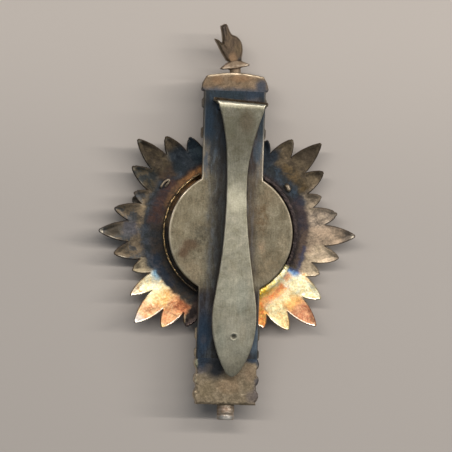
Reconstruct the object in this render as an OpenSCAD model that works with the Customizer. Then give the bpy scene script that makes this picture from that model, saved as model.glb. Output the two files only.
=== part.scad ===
// A silver parliamentary badge lying on its front: a flat bar and disc on the back, a spring clip,
// a dished plate of rays, a rod bundle with a cap, a rough foot, and a small hand on a staff.
// X runs across the badge, Y towards the hand, Z out of the back. Sizes along X and Y are given
// from the middle of the disc or of the rays, and the origin is under the middle of the whole badge.

/* [Back plate] */
// Height of the back face above the surface that the badge lies on
back_z = 8; // [7.8:0.1:8.6]
// Thickness of the sheet with the bar and the disc
sheet_t = 0.9; // [0.7:0.05:1.1]
// Radius of the disc
disc_r = 12.45; // [11.8:0.05:12.6]
// Half of the bar's width
bar_half = 6.15; // [6.1:0.05:6.3]
// How far the disc and the bar sit to the right of the middle of the rays
bar_x = 0.5; // [0:0.05:0.6]

/* [Head cap] */
// Lower edge of the cap, where the bar ends
cap_low = 28.5; // [28.2:0.1:29]
// Top of the cap at its middle
cap_top = 32.2; // [32:0.1:32.6]
// Half of the cap's width at its lower edge
cap_half = 6.7; // [6.5:0.05:7]
// Radius of the cap's cambered top
cap_camber_r = 23.6; // [20:0.2:30]
// Height of the front of the cap and of the foot
block_front_z = 1.5; // [1.2:0.1:2]

/* [Foot] */
// Upper edge of the foot, where the bar ends
foot_top = -25; // [-25.4:0.1:-24.6]
// Lower edge of the foot
foot_low = -34.3; // [-34.6:0.1:-34]
// Half of the foot's width between its knobs
foot_half = 6.3; // [6.2:0.05:6.5]
// How far the knobs stand out at the sides of the foot
knob_out = 0.42; // [0.2:0.02:0.6]

/* [Rod bundle] */
// Radius of one rod
rod_r = 1; // [0.95:0.01:1.05]
// Distance between the rods
rod_pitch = 1.7; // [1.6:0.02:1.7]
// Number of rods across the bundle
rods = 7; // [5:2:7]
// Height of the front of the middle rod
rod_front_z = 2.3; // [2:0.1:2.6]
// How far each rod lies behind the one next to it, for each step squared
rod_fall = 0.16; // [0.1:0.01:0.2]
// Half of the binding bands' width
band_half = 6.45; // [6.4:0.05:6.6]

/* [Ray plate] */
// Thickness of the ray plate
ray_t = 1.1; // [0.9:0.05:1.2]
// Height of the back of the plate in its flat middle
ray_floor_z = 4; // [3.8:0.1:4.2]
// How far the tips of the long rays rise above the flat middle
ray_rise = 1.6; // [1:0.1:2]
// Radius where the plate starts to rise
flat_r = 14; // [13.6:0.1:14.4]
// Radius of the plate between the rays
web_r = 17; // [16.5:0.1:17.5]
// Turn of the rays against the bar, in degrees
ray_turn = 0.5; // [-1:0.1:1]
// Outer radius of the round collar
collar_r = 13.55; // [13.3:0.05:13.7]
// Thickness of the collar's wall
collar_t = 0.4; // [0.3:0.05:0.5]
// Height of the collar's edge
collar_z = 6.8; // [6.4:0.1:7]

/* [Front] */
// Radius of the plain medallion
medal_r = 12.4; // [12:0.1:12.8]
// Width of the medallion's raised rim
medal_rim_w = 1.6; // [1.2:0.1:2.2]
// Depth of the medallion's face below its rim
medal_sink = 0.9; // [0.5:0.1:1.2]
// Radius of the middle of the wreath ring
ring_r = 15.7; // [15.5:0.1:15.9]
// Half of the ring's width
ring_half = 1.5; // [1.3:0.1:1.5]
// Radius of the ring's two pins
pin_r = 0.4; // [0.35:0.01:0.45]

/* [Spring clip] */
// Thickness of the clip's strip
strip_t = 0.8; // [0.6:0.05:0.9]
// Height of the fold above the back plate
fold_h = 3.9; // [3.6:0.1:4.2]
// Outermost line of the fold
fold_y = 27.1; // [26.5:0.1:27.2]
// Sideways place of the clip's middle line
clip_x = 1; // [0:0.1:1]
// Half of the strip's width where it is soldered down
root_half = 5.45; // [5:0.05:5.5]
// Half of the tongue's width at its waist
waist_half = 2; // [1.8:0.05:2.2]
// Half of the tongue's width at the widest part of the blade
blade_half = 4.43; // [4.2:0.05:4.6]
// End of the tongue
tip_y = -28.8; // [-29.2:0.1:-28.4]

/* [Staff] */
// Sideways place of the cuff above the cap
cuff_x = -0.1; // [-0.2:0.05:0.2]
// Sideways place of the butt below the foot
butt_x = 0.2; // [0:0.05:0.3]
// Radius of the staff's neck
neck_r = 1.2; // [1.1:0.05:1.3]
// Height of the back of the hand
hand_z = 6.9; // [6.6:0.1:7.2]
// Thickness of the hand
hand_t = 2.2; // [1.8:0.1:2.6]
// Tilt of the cuff, in degrees
cuff_tilt = 9.4; // [0:0.2:10]

/* [Hidden] */
$fn = 64;
EPS = 0.01;

// Ends of the badge along Y, which place the disc above the origin
hand_top = 42.1;
butt_low = -37.4;
disc_y = -(hand_top + butt_low) / 2;

// Back of the pieces that lie under the sheet
under_z = back_z - sheet_t;
// Underside of the ray plate's flat middle
ray_under_z = ray_floor_z - ray_t;

// Rays: one step between neighbours, and their kinds in order around the plate
ray_step = 11.25;
ray_count = 32;
// columns: radius of the tip, radius of the widest place, half of the width
RAY_KINDS = [[25.9, 19.2, 2.18],
             [23.1, 17.6, 2.12],
             [20.3, 15.6, 2.02],
             [23.1, 17.6, 2.12]];
// The rod bundle hides these rays, and the plate has none of them
HIDDEN_RAYS = [7, 8, 9, 23, 24, 25];
dish_r = RAY_KINDS[0][0];
dish_rings = 5;

// Strap of the bundle that passes behind the ray plate, and its gap to the plate
spine_half = 5.9;
spine_gap = 0.5;

// Binding bands of the bundle. columns: from, to along Y
BANDS = [[19, 21.2], [25.1, 27.1], [-21.4, -19], [-25, -23.2]];
band_front_z = 1.8;
// Radius of the rounded fronts of the bands, the cap and the foot
front_r = 9;

// Knobs at the sides of the foot. columns: middle along Y, radius
KNOBS = [[-26.1, 1.55], [-29.3, 1.5], [-32.5, 1.55]];

// Pins of the ring. columns: angle, radius, length of the end that is bent over
PINS = [[38, 15.5, 0.9], [145.9, 16.1, 1.7]];
pin_hole_gap = 0.1;
pin_up = 0.95;
// The wreath's one leaf tip that shows between two rays
leaf_angle = 161.5;
leaf_tip_r = 20.3;

// Arcs of the tongue's sides, from the waist to the root and to the blade
waist_y = 9.5;
root_arc_r = 50.2;
neck_arc_r = 115;
flank_high = -7.5;
flank_low = -13.2;
blade_y = -17;
blade_high_r = 25;
blade_low_r = 20;
tip_r = 1.4;
fold_r = fold_h / 2;
fold_mid = fold_y - fold_r;
leg_len = 1;
tongue_steps = 44;
// Height of the tongue's upper face. columns: place along Y, height above the back plate
TONGUE = [[fold_mid, fold_h], [17, 3.0], [10, 2.42], [0, 2.9], [-12, 3.15], [-22, 3.0], [tip_y, 2.1]];
dot_y = -20.3;
dot_r = 0.42;
dot_deep = 0.2;

// Outline of the hand, seen from the back, from the left of the wrist round over the thumb
HAND = [[-1.6, 34.5], [-2.4, 35.35], [-3.1, 36.4], [-3.75, 37.7], [-4.45, 38.95], [-3.8, 38.95],
        [-3.25, 38.6], [-2.88, 38.2], [-2.85, 38.8], [-3, 40], [-3.3, 41.4], [-3, 41.75], [-2.4, hand_top],
        [-1.85, 41.95], [-1.55, 41.2], [-1.2, 40.4], [-0.8, 39.95], [-0.1, 39.7], [0.55, 39.25],
        [1.05, 38.55], [1.35, 37.7], [1.45, 36.7], [1.3, 35.6], [1.05, 34.5]];

// Depth of a flat arc of radius r at the distance d from its middle
function sag(r, d) = r - sqrt(r * r - d * d);

// Straight blend from a to b
function mix(a, b, t) = a + (b - a) * t;

// Half of the tongue's width at the place y
function half_at(y) =
    y > waist_y ? waist_half + sag(root_arc_r, y - waist_y) :
    y > flank_high ? waist_half + sag(neck_arc_r, y - waist_y) :
    y > flank_low ? mix(half_at(flank_high + EPS), blade_half - sag(blade_high_r, flank_low - blade_y),
                        (flank_high - y) / (flank_high - flank_low)) :
    y > blade_y ? blade_half - sag(blade_high_r, y - blade_y) :
    let (low = blade_half - sag(blade_low_r, y - blade_y),
         from_end = max(0, y - tip_y))
    from_end < tip_r ? min(low, sqrt(from_end * (2 * tip_r - from_end))) : low;

// Slope of a table's curve at row i, level at its first row
function slope_at(t, i) =
    i == 0 ? 0 :
    i == len(t) - 1 ? (t[i][1] - t[i - 1][1]) / (t[i][0] - t[i - 1][0]) :
    (t[i + 1][1] - t[i - 1][1]) / (t[i + 1][0] - t[i - 1][0]);

// Row of the table after which y lies
function row_of(t, y, i = 0) = i >= len(t) - 2 || y > t[i + 1][0] ? i : row_of(t, y, i + 1);

// Smooth curve through the rows of a table
function curve_at(t, y) =
    let (i = row_of(t, y), w = t[i + 1][0] - t[i][0], u = (y - t[i][0]) / w)
    t[i][1] * (1 + 2 * u) * pow(1 - u, 2) + t[i + 1][1] * u * u * (3 - 2 * u)
    + w * (slope_at(t, i) * u * pow(1 - u, 2) + slope_at(t, i + 1) * u * u * (u - 1));

// Height of the ray plate's back face at the radius r
function dish_z(r) = ray_floor_z + ray_rise * pow(max(0, r - flat_r) / (dish_r - flat_r), 2);

// Puts a piece that is drawn around the disc's middle in its place
module placed() {
    translate([bar_x, disc_y, 0]) children();
}

// Puts a piece that is drawn around the middle of the rays in its place
module placed_round() {
    translate([0, disc_y, 0]) children();
}

// Extrudes a section drawn in X and Z from y0 to y1
module along_y(y0, y1) {
    translate([0, y1, 0]) rotate([90, 0, 0]) linear_extrude(y1 - y0) children();
}

module back_plate() {
    color("#6f6a58") placed() translate([0, 0, under_z]) linear_extrude(sheet_t) {
        circle(r = disc_r, $fn = 96);
        translate([-bar_half, foot_top]) square([2 * bar_half, cap_low - foot_top]);
    }
}

// Section of the reeded bundle, round rods in front and a flat back
module rods_section() {
    for (i = [0 : rods - 1]) {
        step = i - (rods - 1) / 2;
        rod_z = rod_front_z + rod_r + rod_fall * step * step;
        translate([step * rod_pitch, rod_z]) circle(r = rod_r, $fn = 32);
        translate([step * rod_pitch - rod_r, rod_z]) square([2 * rod_r, under_z - rod_z]);
    }
}

// Section with a rounded front, from its front at z0 to its flat back at z1
module round_section(half, z0, z1) {
    intersection() {
        translate([-half, z0]) square([2 * half, z1 - z0]);
        translate([0, z0 + front_r]) circle(r = front_r, $fn = 96);
    }
}

module rod_bundle() {
    rods_from = BANDS[0][0];
    hub_r = 11.6;
    color("#4a4a48") placed() {
        along_y(rods_from, cap_low) rods_section();
        along_y(foot_top, -rods_from) rods_section();
        for (b = BANDS) along_y(b[0], b[1]) round_section(band_half, band_front_z, under_z);
        translate([-spine_half, foot_top, ray_floor_z + spine_gap])
            cube([2 * spine_half, cap_low - foot_top, under_z - ray_floor_z - spine_gap]);
        translate([0, 0, ray_floor_z]) cylinder(r = hub_r, h = under_z - ray_floor_z, $fn = 96);
    }
}

module head_cap() {
    shoulder = [5.7, 31.5];
    waist = [6.4, 30.2];
    color("#7d6e58") placed() intersection() {
        linear_extrude(back_z) intersection() {
            polygon([[-cap_half, cap_low], [cap_half, cap_low], waist, shoulder, [shoulder[0], cap_top],
                     [-shoulder[0], cap_top], [-shoulder[0], shoulder[1]], [-waist[0], waist[1]]]);
            translate([0, cap_top - cap_camber_r]) circle(r = cap_camber_r, $fn = 180);
        }
        along_y(cap_low, cap_top) round_section(cap_half, block_front_z, back_z);
    }
}

module foot_block() {
    wide = foot_half + knob_out;
    color("#8a7860") placed() intersection() {
        linear_extrude(back_z) {
            translate([-foot_half, foot_low]) square([2 * foot_half, foot_top - foot_low]);
            for (k = KNOBS, side = [-1, 1])
                translate([side * (wide - k[1]), k[0]]) circle(r = k[1], $fn = 32);
        }
        along_y(foot_low, foot_top) round_section(wide, block_front_z, back_z);
    }
}

// Outline of one pointed ray, the part that two circles share
module ray_outline(kind) {
    reach = kind[0] - kind[1];
    side_r = (reach * reach + kind[2] * kind[2]) / (2 * kind[2]);
    intersection() {
        translate([kind[1], side_r - kind[2]]) circle(r = side_r, $fn = 64);
        translate([kind[1], kind[2] - side_r]) circle(r = side_r, $fn = 64);
    }
}

module star_outline() {
    circle(r = web_r, $fn = 96);
    for (i = [0 : ray_count - 1])
        if (len(search(i, HIDDEN_RAYS)) == 0)
            rotate(i * ray_step + ray_turn) ray_outline(RAY_KINDS[i % len(RAY_KINDS)]);
}

// The dished sheet before the rays are cut out of it
module dish() {
    rim = dish_r + 1;
    radii = concat([0], [for (i = [0 : dish_rings]) flat_r + (rim - flat_r) * i / dish_rings]);
    back = [for (r = radii) [r, dish_z(r)]];
    front = [for (i = [len(radii) - 1 : -1 : 0]) [radii[i], dish_z(radii[i]) - ray_t]];
    rotate_extrude($fn = 128) polygon(concat(back, front));
}

// The round wall on the plate, notched on both sides where the bundle's spine passes through it
module collar() {
    notch_half = spine_half + 0.2;
    translate([0, 0, ray_floor_z - EPS]) difference() {
        cylinder(r = collar_r, h = collar_z - ray_floor_z + EPS, $fn = 96);
        translate([0, 0, -1]) cylinder(r = collar_r - collar_t, h = back_z, $fn = 96);
        translate([-notch_half, -back_z * 2, spine_gap / 2]) cube([2 * notch_half, back_z * 4, back_z]);
    }
}

module ray_plate() {
    color("#8c6f52") placed_round() difference() {
        union() {
            intersection() {
                dish();
                linear_extrude(back_z) star_outline();
            }
            translate([bar_x, 0, 0]) collar();
        }
        for (p = PINS) rotate(p[0]) translate([p[1], 0, 0])
            cylinder(r = pin_r + pin_hole_gap, h = back_z, $fn = 24);
    }
}

module medallion() {
    step_r = 1.1;
    color("#a39a8c") placed_round() rotate_extrude($fn = 128) polygon([
        [0, medal_sink], [medal_r - step_r - medal_rim_w, medal_sink], [medal_r - step_r - medal_rim_w, 0],
        [medal_r - step_r, 0], [medal_r, step_r], [medal_r, ray_under_z], [0, ray_under_z]]);
}

// A pin of the ring, with its end bent over along the plate
module ring_pin(r, bent_len) {
    root_z = ray_under_z - 1;
    bend_z = dish_z(r) + pin_up - pin_r;
    translate([0, 0, root_z]) cylinder(r = pin_r, h = bend_z - root_z, $fn = 24);
    translate([0, 0, bend_z]) sphere(r = pin_r, $fn = 24);
    translate([0, 0, bend_z]) rotate([90, 0, 0]) cylinder(r = pin_r, h = bent_len, $fn = 24);
}

module wreath_ring() {
    front_z = 1.3;
    round_r = 1.1;
    leaf_gap = 0.05;
    leaf_t = 1.2;
    leaf_half = 1.1;
    color("#6b6358") placed_round() {
        rotate_extrude($fn = 96) translate([ring_r, 0]) {
            translate([-ring_half, front_z + round_r]) square([2 * ring_half, ray_under_z - front_z - round_r]);
            polygon([[-ring_half, front_z + round_r], [-ring_half + round_r, front_z],
                     [ring_half - round_r, front_z], [ring_half, front_z + round_r]]);
        }
        rotate(leaf_angle) translate([0, 0, ray_under_z - leaf_gap - leaf_t]) linear_extrude(leaf_t)
            intersection() {
                ray_outline([leaf_tip_r, ring_r + ring_half, leaf_half]);
                translate([ring_r, -leaf_half]) square([leaf_tip_r, 2 * leaf_half]);
            }
        for (p = PINS) rotate(p[0]) translate([p[1], 0, 0]) ring_pin(p[1], p[2]);
    }
}

// Side view of the clip in Y and Z above the back plate: a short leg, the fold and the tongue
module clip_side() {
    places = [for (i = [0 : tongue_steps]) mix(fold_mid, tip_y, i / tongue_steps)];
    upper = [for (y = places) [y, curve_at(TONGUE, y)]];
    lower = [for (i = [tongue_steps : -1 : 0]) [places[i], curve_at(TONGUE, places[i]) - strip_t]];
    polygon(concat(upper, lower));
    translate([fold_mid - leg_len, 0]) square([leg_len, strip_t]);
    intersection() {
        translate([fold_mid, fold_r]) difference() {
            circle(r = fold_r, $fn = 64);
            circle(r = fold_r - strip_t, $fn = 64);
        }
        translate([fold_mid - EPS, 0]) square([fold_r + 1, fold_h]);
    }
}

// Outline of the tongue seen from the back
module tongue_outline() {
    places = [for (i = [0 : tongue_steps]) mix(fold_mid + EPS, tip_y + EPS, 1 - pow(1 - i / tongue_steps, 1.3))];
    right = [for (y = places) [half_at(y), y]];
    left = [for (i = [tongue_steps : -1 : 0]) [-half_at(places[i]), places[i]]];
    polygon(concat(right, left));
}

module spring_clip() {
    top_half = half_at(fold_mid);
    fold_low = fold_mid - leg_len - EPS;
    color("#8f8d78") placed() translate([clip_x, 0, back_z]) difference() {
        intersection() {
            translate([-root_half, 0, 0]) rotate([90, 0, 90]) linear_extrude(2 * root_half) clip_side();
            union() {
                translate([0, 0, strip_t + EPS]) linear_extrude(fold_h) tongue_outline();
                along_y(fold_low, fold_mid) polygon([[-root_half, 0], [root_half, 0],
                    [root_half, strip_t], [-root_half, strip_t]]);
                along_y(fold_mid, fold_y + 1) polygon([[-root_half, 0], [root_half, 0],
                    [top_half, fold_h], [-top_half, fold_h]]);
            }
        }
        translate([0, dot_y, curve_at(TONGUE, dot_y) - dot_deep]) cylinder(r = dot_r, h = 1, $fn = 24);
    }
}

// The cuff is turned about the staff's axis, cut flat on the back and tilted
module staff_cuff() {
    back = 7.2;
    front = 2.9;
    axis_z = 5.7;
    wide = 3.05;
    brim_y = 33.5;
    top_y = 34.65;
    color("#a08a76") placed() translate([cuff_x, 0, 0]) intersection() {
        union() {
            translate([0, cap_top, axis_z]) rotate([-90, 0, 0])
                cylinder(r = neck_r, h = brim_y - cap_top, $fn = 32);
            translate([0, brim_y, axis_z]) rotate([0, 0, cuff_tilt]) rotate([-90, 0, 0])
                rotate_extrude($fn = 48) polygon([[0, -0.9], [neck_r, -0.7], [wide, -0.12], [wide, 0.12],
                                                  [neck_r + 0.1, top_y - brim_y], [0, top_y - brim_y]]);
        }
        translate([-2 * wide, cap_top, front]) cube([4 * wide, 4 * wide, back - front]);
    }
}

module hand() {
    color("#665a48") placed() difference() {
        translate([0, 0, hand_z - hand_t]) linear_extrude(hand_t) polygon(HAND);
        cuff_room();
    }
}

// Room for the rounded top of the cuff inside the wrist
module cuff_room() {
    axis_z = 5.7;
    brim_y = 33.5;
    top_y = 34.7;
    translate([cuff_x, brim_y, axis_z]) rotate([0, 0, cuff_tilt])
        translate([-5, -4, -5]) cube([10, 4 + top_y - brim_y, 10]);
}

module staff_butt() {
    axis_z = 5.8;
    back = 7.6;
    // columns: from, to along Y, radius
    rings = [[butt_low, -36.6, 1.75], [-36.7, -36.2, 1.55], [-36.3, -35.3, 1.75], [-35.4, foot_low, 1.6]];
    color("#b3a79c") placed() translate([butt_x, 0, 0]) intersection() {
        union() {
            for (r = rings) translate([0, r[0], axis_z]) rotate([-90, 0, 0])
                cylinder(r = r[2], h = r[1] - r[0], $fn = 32);
        }
        translate([-5, butt_low, axis_z - 5]) cube([10, foot_low - butt_low, 5 + back - axis_z]);
    }
}

back_plate();
rod_bundle();
head_cap();
foot_block();
ray_plate();
medallion();
wreath_ring();
spring_clip();
staff_cuff();
hand();
staff_butt();
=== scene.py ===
import math

import bmesh
import bpy
import numpy as np
from mathutils import Matrix, Vector


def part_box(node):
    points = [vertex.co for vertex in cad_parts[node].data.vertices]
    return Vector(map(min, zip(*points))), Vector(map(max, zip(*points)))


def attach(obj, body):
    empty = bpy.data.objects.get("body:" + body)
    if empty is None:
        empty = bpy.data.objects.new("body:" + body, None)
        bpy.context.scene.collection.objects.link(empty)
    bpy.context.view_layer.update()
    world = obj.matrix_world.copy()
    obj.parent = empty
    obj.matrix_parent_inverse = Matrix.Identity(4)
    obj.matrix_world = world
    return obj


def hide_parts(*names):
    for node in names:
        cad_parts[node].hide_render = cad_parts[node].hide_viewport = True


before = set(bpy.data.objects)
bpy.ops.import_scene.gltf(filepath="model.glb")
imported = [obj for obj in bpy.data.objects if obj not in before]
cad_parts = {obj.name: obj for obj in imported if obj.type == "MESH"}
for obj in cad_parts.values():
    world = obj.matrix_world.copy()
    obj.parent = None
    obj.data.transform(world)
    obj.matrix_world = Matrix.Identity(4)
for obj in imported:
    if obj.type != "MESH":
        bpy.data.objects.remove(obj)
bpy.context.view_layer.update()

# A tarnished silver badge that lies on its front. Places are millimetres: x across the badge and
# y towards the hand, both from the middle of the disc, and z up from the floor. The rays, their
# ring and the medallion have a middle of their own, a little to the left of the disc's.
metre = 0.001
roundX, roundY = (sum(pair) / 2 / metre for pair in zip(*[corner[:2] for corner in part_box("medallion")]))
discMiddle = np.array([sum(corner[0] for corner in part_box("back_plate")) / 2 / metre, roundY, 0.0])
roundMiddle = np.array([roundX, roundY, 0.0])


# Lowest and highest corner of a CAD node, in millimetres from the middle of the disc.
def nodeBox(node):
    low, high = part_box(node)
    return np.array(low) / metre - discMiddle, np.array(high) / metre - discMiddle


backLow, backHigh = nodeBox("back_plate")
capLow, capHigh = nodeBox("head_cap")
footLow, footHigh = nodeBox("foot_block")
clipLow, clipHigh = nodeBox("spring_clip")
handLow, handHigh = nodeBox("hand")
backZ = backHigh[2]
print("frame loaded, back of the disc at", round(float(backZ), 2), "mm")


# A loft is a grid of closed loops, one per station, joined by quads from each corner to the next row and
# column, and capped by one face at each end. Its wear and painted light, mostly between 0 and 1 at each point,
# tells the material where the metal is rubbed and where a highlight is painted; below 0 it marks painted shade.
def loft(loops, capStart=True, capEnd=True, wearAndPaintedLight=0.0):
    rows, cols = loops.shape[:2]
    numbers = np.arange(rows * cols).reshape(rows, cols)
    beside = np.roll(numbers, -1, axis=1)
    quads = np.stack([numbers[:-1], beside[:-1], beside[1:], numbers[1:]], -1).reshape(-1, 4)
    caps = [numbers[0, ::-1]] * capStart + [numbers[-1]] * capEnd
    return loops.reshape(-1, 3), quads, caps, np.broadcast_to(wearAndPaintedLight, loops.shape[:2]).ravel()


# Puts the lofts into one mesh in metres, joins the points that meet at seams and poles, and turns every face
# outwards.
def storePiece(name, lofts, material, node, sharpAngle, middle=discMiddle):
    places, faces, wornAndPaintedLight = np.zeros((0, 3)), [], []
    for points, quads, caps, wearAndPaintedLight in lofts:
        faces += (quads + len(places)).tolist() + [(cap + len(places)).tolist() for cap in caps]
        places = np.concatenate([places, points])
        wornAndPaintedLight.append(wearAndPaintedLight)
    mesh = bpy.data.meshes.new(name)
    mesh.from_pydata((places + middle) * metre, [], faces)
    wornAndPaintedLight = np.concatenate(wornAndPaintedLight).astype(np.float32)
    mesh.attributes.new("wearAndPaintedLight", "FLOAT", "POINT").data.foreach_set("value", wornAndPaintedLight)
    form = bmesh.new()
    form.from_mesh(mesh)
    bmesh.ops.remove_doubles(form, verts=form.verts, dist=2e-7)
    bmesh.ops.dissolve_degenerate(form, edges=form.edges, dist=1e-8)
    bmesh.ops.recalc_face_normals(form, faces=form.faces)
    form.to_mesh(mesh)
    form.free()
    mesh.shade_smooth()
    mesh.set_sharp_from_angle(angle=math.radians(sharpAngle))
    mesh.materials.append(material)
    piece = bpy.data.objects.new(name, mesh)
    bpy.context.scene.collection.objects.link(piece)
    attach(piece, "root")
    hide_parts(node)
    print("made", name, "with", len(mesh.polygons), "faces")


# Smooth wandering between -1 and 1: a sum of sine waves in random directions, their lengths near size.
def wander(points, size, seed, waves=14):
    rng = np.random.default_rng(seed)
    ways = rng.normal(size=(waves, 3))
    ways /= np.linalg.norm(ways, axis=1)[:, None]
    lengths = size * rng.uniform(0.6, 1.7, waves)
    phases = rng.uniform(0, 2 * math.pi, waves)
    total = np.zeros(points.shape[:-1])
    for way, length, phase in zip(ways, lengths, phases):
        total += np.sin(points @ way * (2 * math.pi / length) + phase)
    return total / math.sqrt(waves * 2)


# Moves points in all three directions by amounts that wander with the places at, so closed seams stay closed.
def roughen(points, at, size, height, seed):
    return points + height * np.stack([wander(at, size, seed + k) for k in range(3)], -1)


# Places from low to high that stand closer together at both ends, spaced by the cosine.
def eased(low, high, count):
    return low + (high - low) * (1 - np.cos(np.linspace(0, math.pi, count))) / 2


# Step that rises smoothly from 0 at low to 1 at high, the cubic 3t^2 - 2t^3.
def smoothStep(value, low, high):
    t = np.clip((value - low) / (high - low), 0, 1)
    return t * t * (3 - 2 * t)


# Depth of a flat arc of radius r at the distance d from its middle.
def sag(r, d):
    return r - np.sqrt(np.maximum(r * r - d * d, 0))


# Drop of a rounded edge of radius r at the distance d inside the rim, the sag of its quarter circle.
def roundOff(d, r):
    return sag(r, r - np.clip(d, 0, r))


# Shortest distance from each point to an outline of straight pieces, worked out for all pairs of a batch
# of points at once, so that the arrays stay small.
def outlineDistance(x, y, outline, closed=True):
    a = outline if closed else outline[:-1]
    along = np.roll(outline, -1, axis=0)[:len(a)] - a
    size = np.maximum((along ** 2).sum(-1), 1e-12)
    gaps = []
    for p in np.array_split(np.stack([x, y], -1).reshape(-1, 1, 2), 1 + x.size * len(a) // 2000000):
        t = np.clip(((p - a) * along).sum(-1) / size, 0, 1)
        gaps.append(np.linalg.norm(p - a - t[..., None] * along, axis=-1).min(axis=1))
    return np.concatenate(gaps).reshape(x.shape)


# Smooth curve through the rows of a table, a cubic between rows with the slope of its neighbours.
def smoothCurve(table, at):
    rows = np.array(sorted(table))
    x, v = rows[:, 0], rows[:, 1]
    slope = np.gradient(v, x)
    i = np.clip(np.searchsorted(x, at) - 1, 0, len(x) - 2)
    w = x[i + 1] - x[i]
    u = np.clip((at - x[i]) / w, 0, 1)
    return (v[i] * (1 + 2 * u) * (1 - u) ** 2 + v[i + 1] * u * u * (3 - 2 * u)
            + w * (slope[i] * u * (1 - u) ** 2 + slope[i + 1] * u * u * (u - 1)))


# Closed curve through points, the Catmull-Rom cubic of each four neighbours, with steps places to a piece.
def roundCurve(points, steps):
    p = np.array(points, float)
    before, after, next2 = np.roll(p, 1, 0), np.roll(p, -1, 0), np.roll(p, -2, 0)
    t = np.linspace(0, 1, steps, endpoint=False)[None, :, None]
    a, b, c, d = (q[:, None] for q in (before, p, after, next2))
    curve = b + 0.5 * t * (c - a + t * (2 * a - 5 * b + 4 * c - d + t * (3 * (b - c) + d - a)))
    return curve.reshape(-1, p.shape[1])


# Loop round a strip's section as (share of the half-width, inset from the rim, depth below the outer face):
# across the outer face, round the rim by a quarter circle at each face, and back across the inner face.
def stripSection(thick, edge, across, acrossBack):
    corner = 5
    turn = np.linspace(0, math.pi / 2, corner)
    inset, depth = edge * (1 - np.sin(turn)), edge * (1 - np.cos(turn))
    rimInset = np.concatenate([inset[1:], inset[::-1][:-1]])
    rimDepth = np.concatenate([depth[1:], thick - depth[::-1][:-1]])
    rim = np.ones(len(rimInset))
    share = np.concatenate([np.linspace(-1, 1, across), rim, np.linspace(1, -1, acrossBack), -rim])
    insets = np.concatenate([np.full(across, edge), rimInset, np.full(acrossBack, edge), rimInset[::-1]])
    depths = np.concatenate([np.zeros(across), rimDepth, np.full(acrossBack, thick), rimDepth[::-1]])
    return share, insets, depths


# A strip carried along a path in y and z: each rim point is moved in from the outline along the
# outline's own normal, and down from the outer face along the path's normal.
def carryStrip(s, y, z, half, section):
    share, inset, depth = section
    dy, dz = np.gradient(y, s), np.gradient(z, s)
    size = np.hypot(dy, dz)
    inY, inZ = -dz / size, dy / size
    slope = np.gradient(half, s)
    lean = np.hypot(1, slope)
    x = share[None, :] * np.maximum(half[:, None] - inset[None, :] / lean[:, None], 0)
    moved = s[:, None] + inset[None, :] * (slope / lean)[:, None]
    yy = np.interp(moved, s, y) + depth[None, :] * np.interp(moved, s, inY)
    zz = np.interp(moved, s, z) + depth[None, :] * np.interp(moved, s, inZ)
    return np.stack([x, yy, zz], -1)


# Places across a block at each y, closer together towards its sides by the sine.
def blockGrid(y, half, across):
    x = np.sin(np.linspace(-math.pi / 2, math.pi / 2, across)) * half[:, None]
    return x, np.broadcast_to(y[:, None], x.shape)


# A block as loops: across its back face, down one side, across its front and up the other.
def carryBlock(x, y, back, front, wall):
    back, front = (np.stack([x, y, z], -1) for z in (back, front))
    t = np.linspace(0, 1, wall + 2)[1:-1][None, :, None]
    right = back[:, -1:] * (1 - t) + front[:, -1:] * t
    left = front[:, :1] * (1 - t) + back[:, :1] * t
    return np.concatenate([back, right, front[:, ::-1], left], axis=1)


# A closed profile of (radius, height) carried round the z axis, one loop per angle in degrees.
def turnedRing(profile, angles):
    a = np.radians(angles)[:, None]
    r, h = profile[None, :, 0], profile[None, :, 1]
    return np.stack([r * np.cos(a), r * np.sin(a), h + 0 * a], -1)


# An open profile of (radius, height) turned about the z axis, one loop per row of it.
def turnedSolid(profile, steps):
    return turnedRing(np.array(profile), np.linspace(0, 360, steps, endpoint=False)).swapaxes(0, 1)


# One output of a shader node. Numbers and other outputs join it by a Math node: a + b, a * b, 1 - a, abs(a).
class Value:
    def __init__(self, output):
        self.output = output

    def join(self, first, second, operation):
        return addNode(self, "Math", {0: first, 1: second}, operation=operation)

    def __add__(self, other):
        return self.join(self, other, "ADD")

    def __mul__(self, other):
        return self.join(self, other, "MULTIPLY")

    def __rsub__(self, other):
        return self.join(other, self, "SUBTRACT")

    def __abs__(self):
        return self.join(self, 0.0, "ABSOLUTE")


# Adds a node beside the value near, its inputs set from numbers, colours or other values, and gives one output.
def addNode(near, kind, inputs, output=0, **settings):
    tree = near.output.id_data
    node = tree.nodes.new("ShaderNode" + kind)
    for key, value in settings.items():
        setattr(node, key, value)
    for key, value in inputs.items():
        if isinstance(value, Value):
            tree.links.new(value.output, node.inputs[key])
        else:
            node.inputs[key].default_value = value
    return Value(node.outputs[output])


# New material, and the point in it that reads millimetres from the middle of the disc.
def startMaterial(name, metallic):
    material = bpy.data.materials.new(name)
    material.use_nodes = True
    material.node_tree.nodes["Principled BSDF"].inputs["Metallic"].default_value = metallic
    place = Value(material.node_tree.nodes.new("ShaderNodeTexCoord").outputs["Object"])
    return material, addNode(place, "Mapping", {"Vector": place, "Scale": (1 / metre,) * 3,
                                                "Location": tuple(-discMiddle)})


# Fractal noise of the given grain in millimetres, between 0 and 1. Stretch squeezes it along x, y and z.
def grain(place, size, detail=4.0, rough=0.6, stretch=(1, 1, 1), warp=0.0):
    squeezed = addNode(place, "Mapping", {"Vector": place, "Scale": tuple(s / size for s in stretch)})
    return addNode(place, "TexNoise", {"Vector": squeezed, "Scale": 1.0, "Detail": detail, "Roughness": rough,
                                       "Distortion": warp})


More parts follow.
